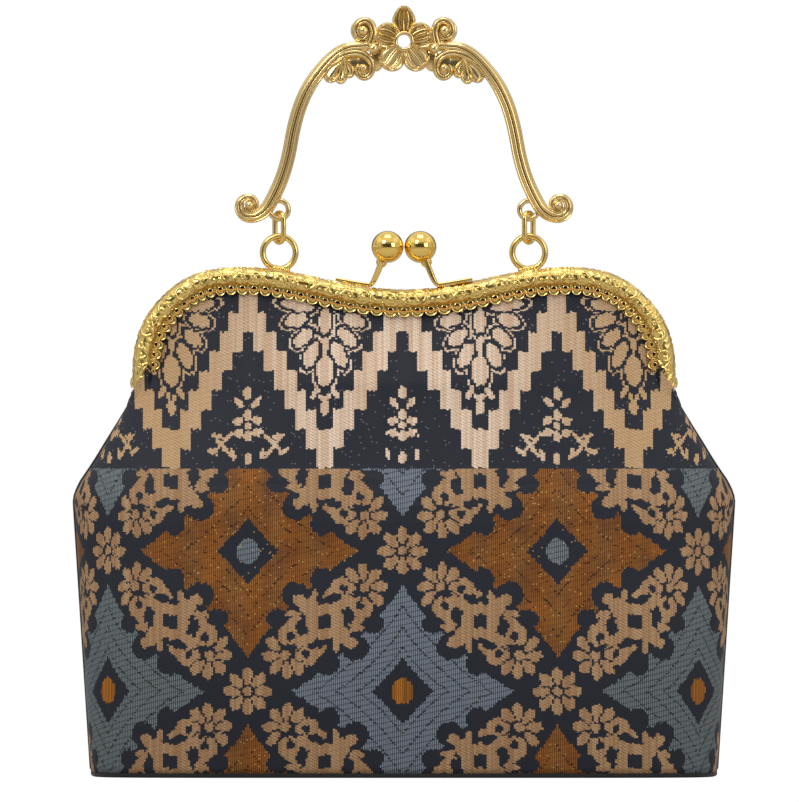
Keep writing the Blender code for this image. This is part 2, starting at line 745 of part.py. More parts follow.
def spiral(centre, radius, turns, start_angle, way, shrink=0.62, steps_per_turn=12):
    """Points on a spiral that winds inwards in the XZ plane from a start angle."""
    count = int(steps_per_turn * turns) + 1
    points = []
    for k in range(count):
        share = k / (count - 1)
        angle = start_angle + way * 2 * math.pi * turns * share
        reach = radius * (1 - shrink * share)
        points.append(centre + Vector((math.cos(angle) * reach, 0, math.sin(angle) * reach)))
    return points


def spiral_out(centre, inner, outer, turns, steps_per_turn=24):
    """Points on a spiral that opens clockwise in the XZ plane and ends straight under its centre."""
    count = int(steps_per_turn * turns) + 1
    points = []
    for k in range(count):
        share = k / (count - 1)
        angle = -math.pi / 2 + 2 * math.pi * turns * (1 - share)
        reach = mix(inner, outer, share)
        points.append(centre + Vector((math.cos(angle) * reach, 0, math.sin(angle) * reach)))
    return points


def petal(name, centre, angle, reach, width, layers):
    """Pointed petal in the XZ plane; each layer is (share of the depth, share of the outline)."""
    half = width / 2
    outline = [(0.0, -0.45), (0.35, -0.8), (0.68, -1.0), (0.88, -0.62), (1.0, 0.0), (0.88, 0.62), (0.68, 1.0),
               (0.35, 0.8), (0.0, 0.45)]
    way = Vector((math.sin(angle), 0, math.cos(angle)))
    across = Vector((math.cos(angle), 0, -math.sin(angle)))
    points = []
    rings = []
    middle = centre + way * reach * 0.55
    for depth, size in layers:
        ring = []
        for along, side in outline:
            place = centre + way * reach * along + across * half * side
            place = middle + (place - middle) * size
            points.append(place - Vector((0, PETAL_THICKNESS * depth, 0)))
            ring.append(len(points) - 1)
        rings.append(ring)
    n = len(outline)
    faces = [tuple(rings[0]), tuple(reversed(rings[-1]))]
    for a, b in zip(rings, rings[1:]):
        faces += [(a[k], a[(k + 1) % n], b[(k + 1) % n], b[k]) for k in range(n)]
    return outward(add_mesh(name, points, faces))


PETAL_LAYERS = [(-0.5, 0.92), (0.1, 1.0), (0.5, 0.86), (0.22, 0.55)]
LEAF_LAYERS = [(-0.5, 1.0), (0.15, 1.0), (0.5, 0.5)]


def y_disc(name, centre, radius, half_depth, sides=16, dome=0.3):
    profile = [(-half_depth, 0), (-half_depth, radius * (1 - dome)), (0, radius), (half_depth, radius * (1 - dome)),
               (half_depth, 0)]
    return turned(name, profile, Vector((0, 1, 0)), centre, sides, None)


def leg_taper(share):
    """Width of the leg against its full one, from the scroll's middle to the ornament."""
    return 0.4 + 0.6 * smoothstep(share / 0.3) - 0.25 * smoothstep(share * 3 - 2)


def build_handle(material):
    pivot = handle_pivot_height()
    top = handle_top()
    crest = Vector((0, CARRIER_DEPTH, top + FLOWER_RISE))
    hub = y_disc("handle", crest, FLOWER_HUB_RADIUS, PETAL_THICKNESS * 0.62)
    hub.data.materials.append(material)
    pieces = []
    for k in range(5):
        reach = TOP_PETAL_REACH if k == 0 else PETAL_REACH
        pieces.append(petal(f"cut_petal_{k}", crest, 2 * math.pi * k / 5, reach, PETAL_WIDTH, PETAL_LAYERS))
    leg = [place for place, _ in resample(handle_leg_path(), 60)]
    for sign, label in ((-1, "left"), (1, "right")):

        def side_path(points):
            return [Vector((sign * p.x, p.y, p.z)) for p in points]

        section = fluted_section(HANDLE_LEG_WIDTH, HANDLE_LEG_DEPTH)
        pieces.append(sweep(f"cut_leg_{label}", side_path(leg), section,
                            scale=leg_taper))
        pieces.append(y_disc(f"cut_scroll_end_{label}", Vector((sign * SCROLL_X, crest.y, pivot + SCROLL_LIFT)),
                             SCROLL_END[0], SCROLL_END[1], 8, 0.45))
        eye_centre = Vector((sign * RING_X, CARRIER_DEPTH, pivot + EYE_RADIUS))
        eye_path = [eye_centre + Vector((math.sin(a), 0, math.cos(a))) * EYE_RADIUS
                    for a in (2 * math.pi * k / 16 for k in range(16))]
        pieces.append(sweep(f"cut_eye_{label}", eye_path, round_section(EYE_WIRE_RADIUS, 6), closed=True))
        growing_point = Vector((VOLUTE_LEAD[0], CARRIER_DEPTH, top + VOLUTE_LEAD[1]))
        for tag, (x, rise, radius), start, lead in (
            ("upper", UPPER_VOLUTE, 250, []),
            ("lower", LOWER_VOLUTE, 75, [growing_point]),
        ):
            centre = Vector((x, CARRIER_DEPTH, top + rise))
            curl = spiral(centre, radius - VOLUTE_WIRE, 1.2, math.radians(start), 1, 0.7)
            pieces.append(sweep(f"cut_{tag}_volute_{label}", side_path(lead + curl), round_section(VOLUTE_WIRE, 6),
                                scale=lambda t: 1.15 - 0.35 * t))
            pieces.append(y_disc(f"cut_{tag}_volute_end_{label}", Vector((sign * x, crest.y, top + rise)),
                                 VOLUTE_END[0], VOLUTE_END[1], 8, 0.5))
        bead_centre = Vector((sign * BEAD[0], crest.y, top + BEAD[1]))
        pieces.append(y_disc(f"cut_bead_{label}", bead_centre, BEAD[2], BEAD_HALF_DEPTH, 8, 0.5))
        leaf_centre = Vector((sign * SHELL_LEAF[0], CARRIER_DEPTH, top + SHELL_LEAF[1]))
        for k, tilt in enumerate((-0.75, 0.0, 0.75)):
            pieces.append(petal(f"cut_shell_{label}_{k}", leaf_centre, math.pi - sign * (0.35 + tilt * 0.6),
                                SHELL_LEAF[2] * 1.9, SHELL_LEAF[2] * 0.9, LEAF_LAYERS))
    casting = bpy.data.collections.new("cut_handle_pieces")
    for piece in pieces:
        casting.objects.link(hide_cutter(piece))
    join = hub.modifiers.new("cast_in_one", "BOOLEAN")
    join.operation = "UNION"
    join.solver = "EXACT"
    join.operand_type = "COLLECTION"
    join.collection = casting
    join.use_self = True
    through = 2 * PETAL_THICKNESS
    hole = turned("cut_flower_hole",
                  [(-through, 0), (-through, FLOWER_HOLE_RADIUS), (through, FLOWER_HOLE_RADIUS), (through, 0)],
                  Vector((0, 1, 0)), crest, 16, None)
    boolean(hub, hole, "DIFFERENCE")
    set_origin(hub, (0, CARRIER_DEPTH, pivot))


# Cloth: panels, lining, base

def rim_height(x):
    """Top of the lower cloth: level with the hinge, and lower beside the leg ends."""
    flange_inside = FRAME_HALF_WIDTH - TUBE_HEIGHT - FLANGE_HEIGHT
    leg_clear = HINGE_HEIGHT - math.hypot(TUBE_DEPTH, LEG_BELOW_HINGE) - 2 * CLEARANCE
    start = flange_inside - 3 * CLEARANCE - RIM_SLOPE_START
    return mix(HINGE_HEIGHT, leg_clear, smoothstep((abs(x) - start) / RIM_SLOPE_LENGTH))


def lower_levels():
    return [mix(CLOTH_BOTTOM, SHOULDER_HEIGHT, share) for share in (0.0, 0.3, 0.6, 0.85, 1.0)]


def lower_half_grid(inset, side, floor, columns=20, rim_drop=0.0):
    """Rows of points on half of the bag's lower surface, from the floor up to the rim."""
    rows = []
    half_gap = CLEARANCE / 2
    for z in (max(level, floor) for level in lower_levels()):
        rows.append([])
        for k in range(columns + 1):
            angle = mix(-math.pi / 2, math.pi / 2, k / columns)
            rows[-1].append(section_point(angle, z, inset))
    for share in (0.35, 0.7, 1.0):
        rows.append([])
        for k in range(columns + 1):
            angle = mix(-math.pi / 2, math.pi / 2, k / columns)
            guess = section_point(angle, HINGE_HEIGHT, inset)
            top = rim_height(guess.x) - rim_drop
            z = mix(SHOULDER_HEIGHT, top, share)
            rows[-1].append(section_point(angle, z, inset))
    for line in rows:
        for point in line:
            point.y = min(point.y, -half_gap)
            point.y *= -side
    return rows


def grid_faces(rows, offset=0):
    columns = len(rows[0])
    faces = []
    for r in range(len(rows) - 1):
        for c in range(columns - 1):
            a = offset + r * columns + c
            faces.append((a, a + 1, a + columns + 1, a + columns))
    return faces


def closed_sheet(name, outer, inner, material):
    """Closed solid between two grids of the same size."""
    points = [p for row in outer for p in row] + [p for row in inner for p in row]
    offset = len(outer) * len(outer[0])
    columns = len(outer[0])
    rows = len(outer)
    faces = grid_faces(outer) + [tuple(reversed(face)) for face in grid_faces(inner, offset)]
    border = [c for c in range(columns)]
    border += [r * columns + columns - 1 for r in range(1, rows)]
    border += [(rows - 1) * columns + c for c in range(columns - 2, -1, -1)]
    border += [r * columns for r in range(rows - 2, 0, -1)]
    for a, b in zip(border, border[1:] + border[:1]):
        faces.append((a, b, offset + b, offset + a))
    return smooth(outward(add_mesh(name, points, faces, material)), 50)


def build_lower_panels(material):
    for side, label in ((-1, "front"), (1, "back")):
        outer = lower_half_grid(0.0, side, CLOTH_BOTTOM)
        inner = lower_half_grid(CLOTH_THICKNESS, side, CLOTH_BOTTOM)
        closed_sheet(f"{label}_panel", outer, inner, material)


def build_lining(material):
    """Cup inside the panels: outer skin, rim, inner skin and bottom."""
    floor = CLOTH_BOTTOM + BASE_BOARD_THICKNESS + CLEARANCE
    def ring_rows(inset, base):
        front = lower_half_grid(inset, -1, base, rim_drop=LINING_RIM_DROP)
        back = lower_half_grid(inset, 1, base, rim_drop=LINING_RIM_DROP)
        rows = []
        for a, b in zip(front, back):
            for line in (a, b):
                line[0].y = 0.0
                line[-1].y = 0.0
            rows.append(a[:-1] + list(reversed(b))[:-1])
        for point in rows[0]:
            point.z = base
        return rows

    outer = ring_rows(LINING_OFFSET, floor)
    inner = ring_rows(LINING_OFFSET + LINING_THICKNESS, floor + LINING_THICKNESS)
    rows = outer + list(reversed(inner))
    n = len(rows[0])
    points = [p for row in rows for p in row]
    faces = [tuple(range(n)), tuple(reversed(range((len(rows) - 1) * n, len(rows) * n)))]
    for r in range(len(rows) - 1):
        faces += [(r * n + c, r * n + (c + 1) % n, (r + 1) * n + (c + 1) % n, (r + 1) * n + c) for c in range(n)]
    smooth(outward(add_mesh("lining", points, faces, material)), 50)


def slab(name, inset, low, high, material, columns=48):
    rings = []
    points = []
    for z in (low, high):
        ring = []
        for k in range(columns):
            place = section_point(2 * math.pi * k / columns, CLOTH_BOTTOM, inset)
            place.z = z
            points.append(place)
            ring.append(len(points) - 1)
        rings.append(ring)
    faces = [tuple(rings[0]), tuple(reversed(rings[1]))]
    for k in range(columns):
        nxt = (k + 1) % columns
        faces.append((rings[0][k], rings[0][nxt], rings[1][nxt], rings[1][k]))
    return smooth(outward(add_mesh(name, points, faces, material)))


def upper_sheet(name, side, inset, thickness, material, top_inside):
    """Cloth that fills one frame half, from the hinge line up to behind the sewing flange."""
    half_width = FRAME_HALF_WIDTH - TUBE_HEIGHT - FLANGE_HEIGHT - 2 * CLEARANCE - inset
    lap = LINING_OFFSET + LINING_THICKNESS + SWING_CLEARANCE
    flange_back = FLANGE_DEPTH - FRAME_WALL - 2 * CLEARANCE
    bottom = HINGE_HEIGHT + 2 * CLEARANCE
    columns = 18
    steps = 4

    def skin(extra):
        rows = [[] for _ in range(steps + 2)]
        for k in range(columns + 1):
            x = half_width * math.sin(mix(-math.pi / 2, math.pi / 2, k / columns))
            edge = inner_edge_height(x, TUBE_HEIGHT + FLANGE_HEIGHT) - 2 * CLEARANCE
            edge = max(edge, bottom + LEAST_CLOTH_HEIGHT)
            top = max(inner_edge_height(x, top_inside), edge + LEAST_CLOTH_HEIGHT)
            low_depth = max(bag_depth_at(x, HINGE_HEIGHT, 0.0) - lap - inset - extra, LEAST_CLOTH_DEPTH)
            high_depth = max(flange_back - inset - extra, LEAST_LINING_DEPTH)
            for r in range(steps + 1):
                share = r / steps
                depth = mix(max(low_depth, high_depth), high_depth, share)
                rows[r].append(Vector((x, side * depth, mix(bottom, edge, share))))
            rows[-1].append(Vector((x, side * high_depth, top)))
        return rows

    sheet = closed_sheet(name, skin(0.0), skin(thickness), material)
    set_origin(sheet, (0, 0, HINGE_HEIGHT))


def main():
    for obj in list(bpy.data.objects):
        bpy.data.objects.remove(obj)
    brocade = add_material("brocade", (0.045, 0.05, 0.07), 0.75, 0.0)
    lining_cloth = add_material("lining_cloth", (0.03, 0.03, 0.035), 0.8, 0.0)
    base_cloth = add_material("base_cloth", (0.01, 0.01, 0.011), 0.85, 0.0)
    board = add_material("board", (0.25, 0.2, 0.15), 0.9, 0.0)
    gold = add_material("gold_plate", (0.83, 0.6, 0.2), 0.28, 1.0)
    polished = add_material("polished_gold", (0.86, 0.63, 0.22), 0.1, 1.0)

    slab("base_panel", 0.0, 0.0, BASE_PANEL_THICKNESS, base_cloth)
    slab("base_board", LINING_OFFSET, CLOTH_BOTTOM, CLOTH_BOTTOM + BASE_BOARD_THICKNESS, board)
    build_lower_panels(brocade)
    build_lining(lining_cloth)
    build_frame_halves(gold)
    build_rivets(gold)
    for side, label in ((-1, "front"), (1, "back")):
        top_inside = TUBE_HEIGHT + FLANGE_HEIGHT * 0.2
        upper_sheet(f"{label}_panel_top", side, 0.0, CLOTH_THICKNESS, brocade, top_inside)
        upper_sheet(f"{label}_lining_top", side, LINING_OFFSET + CLEARANCE, LINING_THICKNESS, lining_cloth, top_inside)
        build_clasp(side, label, gold, polished)
    for sign, label in ((-1, "left"), (1, "right")):
        build_ring(sign, label, gold)
        build_link(sign, label, gold)
    build_handle(gold)


main()
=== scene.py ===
"""Looks of the kiss lock handbag: brocade cloth, embossed gilt frame, clasp balls and cast handle.

Metres, +Z up, front towards -Y. The cloth pattern is worked out from millimetres along the cloth.
"""

import math
from functools import partialmethod

import bmesh
import bpy
import numpy as np
from mathutils import Matrix, Vector, noise


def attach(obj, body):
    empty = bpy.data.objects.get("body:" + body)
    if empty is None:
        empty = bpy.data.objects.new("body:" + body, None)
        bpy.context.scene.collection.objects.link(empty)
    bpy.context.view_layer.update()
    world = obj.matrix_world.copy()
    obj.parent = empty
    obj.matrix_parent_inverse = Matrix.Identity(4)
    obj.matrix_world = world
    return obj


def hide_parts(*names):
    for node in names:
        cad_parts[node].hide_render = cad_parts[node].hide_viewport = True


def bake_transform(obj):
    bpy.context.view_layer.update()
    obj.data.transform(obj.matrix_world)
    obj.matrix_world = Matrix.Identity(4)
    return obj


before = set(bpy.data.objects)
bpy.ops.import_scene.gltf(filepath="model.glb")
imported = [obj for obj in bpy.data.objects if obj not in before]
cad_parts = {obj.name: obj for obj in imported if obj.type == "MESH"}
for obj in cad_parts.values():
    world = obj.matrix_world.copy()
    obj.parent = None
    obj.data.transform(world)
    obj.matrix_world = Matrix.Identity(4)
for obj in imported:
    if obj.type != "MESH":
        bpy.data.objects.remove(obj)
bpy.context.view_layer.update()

MM = 0.001

# Cloth bag, the CAD part's measures
CLOTH_THICKNESS = 1.2 * MM
CLOTH_BOTTOM = 1.8 * MM
BASE_HALF_WIDTH = 118.6 * MM
BASE_HALF_DEPTH = 38.0 * MM
SHOULDER_HEIGHT = 108.0 * MM
SHOULDER_HALF_WIDTH = 125.5 * MM
SHOULDER_HALF_DEPTH = 32.0 * MM
BELLY_BULGE = 2.5 * MM
NECK_HALF_DEPTH = 16.5 * MM
BASE_SQUARENESS = 7.0
SHOULDER_SQUARENESS = 4.6
NECK_SQUARENESS = 2.6
SHOULDER_ROUNDING = 5.0 * MM
HINGE_HEIGHT = 149.0 * MM
LINING_INSET = 1.5 * MM

# Frame, the CAD part's measures
FRAME_HALF_WIDTH = 103.0 * MM
LEG_BELOW_HINGE = 4.6 * MM
FRAME_DIP_HEIGHT = 184.3 * MM
FRAME_HUMP_HEIGHT = 192.8 * MM
FRAME_HUMP_X = 62.4 * MM
FRAME_CORNER_INSET = 12.0 * MM
FRAME_CORNER_DROP = 10.2 * MM
TUBE_HEIGHT = 7.6 * MM
TUBE_DEPTH = 6.4 * MM
FRAME_WALL = 0.9 * MM
FLANGE_DEPTH = 4.6 * MM
FLANGE_HEIGHT = 2.9 * MM
SCALLOP_COUNT = 57
LUG_RADIUS = 4.2 * MM

# Metalwork; the rings, links and handle stand at the CAD part's pivots
BALL_RADIUS = 6.1 * MM
BALL_HEIGHT = 200.7 * MM
RING_X = 47.5 * MM
RING_OUTER_RADIUS = 7.3 * MM
RING_WIRE_RADIUS = 1.05 * MM
CARRIER_DEPTH = 2.7 * MM
RING_PIVOT_HEIGHT = 204.857 * MM
HANDLE_PIVOT_HEIGHT = 211.357 * MM
LINK_TURN = math.radians(30)
HANDLE_TOP = HANDLE_PIVOT_HEIGHT + 65.6 * MM
FLOWER_HEIGHT = HANDLE_TOP + 2.0 * MM


def mix(a, b, t):
    return a + (b - a) * t


def smoothstep(t):
    t = min(max(t, 0.0), 1.0)
    return t * t * (3 - 2 * t)


def bezier(p0, p1, p2, p3, t):
    u = 1 - t
    return p0 * u**3 + p1 * 3 * u * u * t + p2 * 3 * u * t * t + p3 * t**3


# Materials


class Nodes:
    """Makes, sets and links the nodes of one tree."""

    def __init__(self, tree):
        self.tree = tree

    def node(self, kind, **settings):
        made = self.tree.nodes.new(kind)
        for key, value in settings.items():
            setattr(made, key, value)
        return made

    def feed(self, socket, value):
        """Links an output to an input socket, or sets the input to a number or a linear colour."""
        if isinstance(value, tuple):
            socket.default_value = (*value, 1.0)
        elif isinstance(value, (int, float)):
            socket.default_value = value
        else:
            self.tree.links.new(value.socket if isinstance(value, Wire) else value, socket)

    def split(self, source):
        made = self.node("ShaderNodeSeparateXYZ")
        self.feed(made.inputs[0], source)
        return [Wire(self, output) for output in made.outputs]

    def show(self, output, share, usual, shown):
        """Shows one shader to camera rays, by a share, and the usual one to all other rays."""
        straight = Wire(self, self.node("ShaderNodeLightPath").outputs["Is Camera Ray"])
        blend = self.node("ShaderNodeMixShader")
        for socket, value in zip(blend.inputs, (straight * share, usual.outputs[0], shown.outputs[0])):
            self.feed(socket, value)
        self.feed(output.inputs[0], blend.outputs[0])


class Wire:
    """A number in a node tree, so that a pattern can be written as a sum."""

    def __init__(self, nodes, socket):
        self.nodes = nodes
        self.socket = socket

    def op(self, operation, *others):
        node = self.nodes.node("ShaderNodeMath", operation=operation)
        for slot, value in enumerate((self, *others)):
            self.nodes.feed(node.inputs[slot], value)
        return Wire(self.nodes, node.outputs[0])

    __add__ = partialmethod(op, "ADD")
    __sub__ = partialmethod(op, "SUBTRACT")
    __mul__ = partialmethod(op, "MULTIPLY")
    __truediv__ = partialmethod(op, "DIVIDE")
    below = partialmethod(op, "LESS_THAN")
    above = partialmethod(op, "GREATER_THAN")
    least = partialmethod(op, "MINIMUM")
    most = partialmethod(op, "MAXIMUM")
    size = partialmethod(op, "ABSOLUTE")
    whole = partialmethod(op, "FLOOR")
    part = partialmethod(op, "FRACT")
    power = partialmethod(op, "POWER")
    fold = partialmethod(op, "PINGPONG")

    def flipped(self):
        return self * -1.0 + 1.0

    def kept(self):
        """Held between 0 and 1."""
        return self.most(0.0).least(1.0)


class Shade(Nodes):
    """Builds one material's nodes."""

    def __init__(self, name, slot):
        self.material = bpy.data.materials.new(name)
        self.material.use_nodes = True
        super().__init__(self.material.node_tree)
        self.shader = self.tree.nodes["Principled BSDF"]
        self.slot = slot

    def uv(self):
        return self.split(self.node("ShaderNodeUVMap").outputs[0])[:2]

    def place(self, x, y):
        join = self.node("ShaderNodeCombineXYZ")
        self.feed(join.inputs[0], x)
        self.feed(join.inputs[1], y)
        return join.outputs[0]

    def oval(self, place, x, y, half_x, half_y, turn):
        """Distance from (x, y) that is 1 on the oval's edge."""
        mapping = self.node("ShaderNodeMapping", vector_type="TEXTURE")
        self.feed(mapping.inputs["Vector"], place)
        mapping.inputs["Location"].default_value = (x, y, 0)
        mapping.inputs["Rotation"].default_value = (0, 0, math.radians(turn))
        mapping.inputs["Scale"].default_value = (half_x, half_y, 1)
        length = self.node("ShaderNodeVectorMath", operation="LENGTH")
        self.feed(length.inputs[0], mapping.outputs[0])
        return Wire(self, length.outputs["Value"])

    def ovals(self, place, table):
        best = None
        for row in table:
            value = self.oval(place, *row)
            best = best.least(value) if best else value
        return best

    def random(self, place):
        made = self.node("ShaderNodeTexWhiteNoise", noise_dimensions="3D")
        self.feed(made.inputs["Vector"], place)
        return Wire(self, made.outputs["Value"])

    def noise(self, place, scale, detail=2.0):
        made = self.node("ShaderNodeTexNoise", noise_dimensions="3D")
        self.feed(made.inputs["Vector"], place)
        self.feed(made.inputs["Scale"], scale)
        self.feed(made.inputs["Detail"], detail)
        return Wire(self, made.outputs[0])

    def object_place(self):
        return self.node("ShaderNodeTexCoord").outputs["Object"]

    def blend(self, share, first, second):
        """Mixes two colours, each a socket or a tuple of linear numbers."""
        made = self.node("ShaderNodeMix", data_type="RGBA")
        for key, value in (("Factor", share), (6, first), (7, second)):
            self.feed(made.inputs[key], value)
        return made.outputs[2]

    def shade_by(self, colour, level):
        """Multiplies a colour by a number."""
        made = self.node("ShaderNodeVectorMath", operation="SCALE")
        self.feed(made.inputs[0], colour)
        self.feed(made.inputs["Scale"], level)
        return made.outputs[0]

    def bump(self, height, distance, strength=1.0):
        made = self.node("ShaderNodeBump")
        for key, value in (("Distance", distance), ("Strength", strength), ("Height", height)):
            self.feed(made.inputs[key], value)
        self.feed(self.shader.inputs["Normal"], made.outputs[0])

    def put(self, **values):
        for key, value in values.items():
            self.feed(self.shader.inputs[key.replace("_", " ")], value)

    def wear(self, obj):
        obj.data.materials.append(self.material)


def srgb(red, green, blue):
    def linear(value):
        value /= 255
        return value / 12.92 if value <= 0.04045 else ((value + 0.055) / 1.055) ** 2.4

    return linear(red), linear(green), linear(blue)


NAVY = srgb(33, 37, 47)
TAN = srgb(182, 148, 112)
PALE_TAN = srgb(230, 210, 190)
OCHRE = srgb(126, 80, 32)
SLATE = srgb(122, 132, 146)
ORANGE = srgb(186, 112, 24)
# Colour of the painted highlights: glints of light on a few spots of the lower band
GLINT_HIGHLIGHT = srgb(238, 205, 120)
GRAIN = 0.004 * MM

# Brocade pattern in millimetres: u runs from the pattern's middle line, v is the height
THREAD = 0.8
WEFT = 0.45
CELL_X = 58.9
CELL_Y = 53.2
LATTICE_FOOT = 31.5
CHANGE_LINE = 116.3
CHEVRON_FOOT = 116.4
ROW_HEIGHT = 7.4
LAST_ROW = 6.5

# Each oval is (x, y, half size in x, half size in y, turn in degrees). Up to NAVY_LOBES they lie in half a
# lattice cell; the others are x from the middle line of a chevron's trough or peak, and the height
TAN_CROSS = [
    (29.45, 26.6, 7.2, 6.8, 0),
    (35.2, 31.4, 4.6, 3.4, 42),
    (39.3, 34.7, 2.5, 2.2, 20),
    (33.7, 35.6, 1.3, 3.0, 8),
    (23.7, 21.8, 4.6, 3.4, 42),
    (19.6, 18.5, 2.5, 2.2, 20),
    (17.4, 23.9, 3.0, 1.3, -8),
    (23.0, 32.9, 5.6, 1.9, -23),
]
TAN_CURLS = [
    (22.6, 39.0, 4.7, 4.3, 0),
    (27.2, 37.7, 3.6, 1.5, -32),
    (15.6, 31.8, 4.3, 4.1, 0),
    (17.4, 26.8, 3.5, 1.5, -30),
]
CURL_HOLES = [
    (22.3, 38.9, 1.6, 1.6, 0),
    (25.9, 35.5, 3.1, 1.5, -12),
    (16.3, 32.5, 1.6, 1.6, 0),
    (20.4, 28.9, 1.9, 3.2, -12),
]
HALF_FLOWER = [
    (15.2, 45.2, 2.05, 3.5, 0),
    (19.0, 43.9, 2.0, 3.4, -40),
    (11.0, 43.7, 2.05, 3.4, 42),
    (9.0, 39.8, 3.4, 2.05, 5),
    (10.0, 35.2, 3.4, 2.0, 42),
    (14.4, 39.6, 1.9, 1.9, 0),
]
ROSETTE = [
    (0.0, 47.4, 2.1, 3.3, 0),
    (4.25, 49.1, 2.1, 3.3, 45),
    (6.1, 53.2, 3.4, 2.05, 0),
    (0.0, 53.2, 1.8, 1.7, 0),
]
NAVY_LOBES = [
    (30.7, 42.6, 4.2, 4.5, 0),
    (40.5, 36.4, 5.6, 5.0, 20),
    (18.4, 16.8, 5.6, 5.0, 20),
    (11.6, 25.6, 4.5, 3.6, 0),
]
PALMETTE = [
    (0.0, 153.4, 3.3, 5.9, 0),
    (5.3, 159.4, 2.5, 5.0, 24),
    (8.4, 166.0, 2.4, 4.4, 46),
    (11.0, 172.6, 4.3, 2.5, -20),
    (10.6, 178.4, 6.2, 2.3, 8),
    (0.0, 172.4, 2.3, 5.0, 0),
    (0.0, 182.0, 2.2, 4.0, 0),
]
SPRIG = [
    (3.7, 145.0, 1.2, 2.6, 32),
    (1.2, 143.6, 0.9, 1.4, -30),
    (0.0, 139.6, 1.7, 3.1, 0),
]
PEAK_FLOWER = [
    (0.0, 144.8, 1.7, 2.5, 0),
    (3.3, 141.4, 1.1, 2.6, -38),
    (0.0, 136.4, 1.6, 2.1, 0),
    (3.6, 134.5, 2.0, 1.6, -20),
    (3.5, 129.9, 2.0, 1.6, 25),
    (0.0, 128.4, 1.6, 2.1, 0),
    (0.0, 132.4, 1.5, 1.4, 0),
    (9.2, 126.2, 5.6, 0.8, -45),
    (9.6, 124.4, 5.6, 0.8, 52),
    (11.6, 128.4, 2.4, 0.9, 12),
    (13.8, 122.6, 2.4, 0.9, 30),
    (5.6, 121.6, 0.9, 2.2, -10),
    (0.0, 119.9, 1.5, 2.3, 0),
]


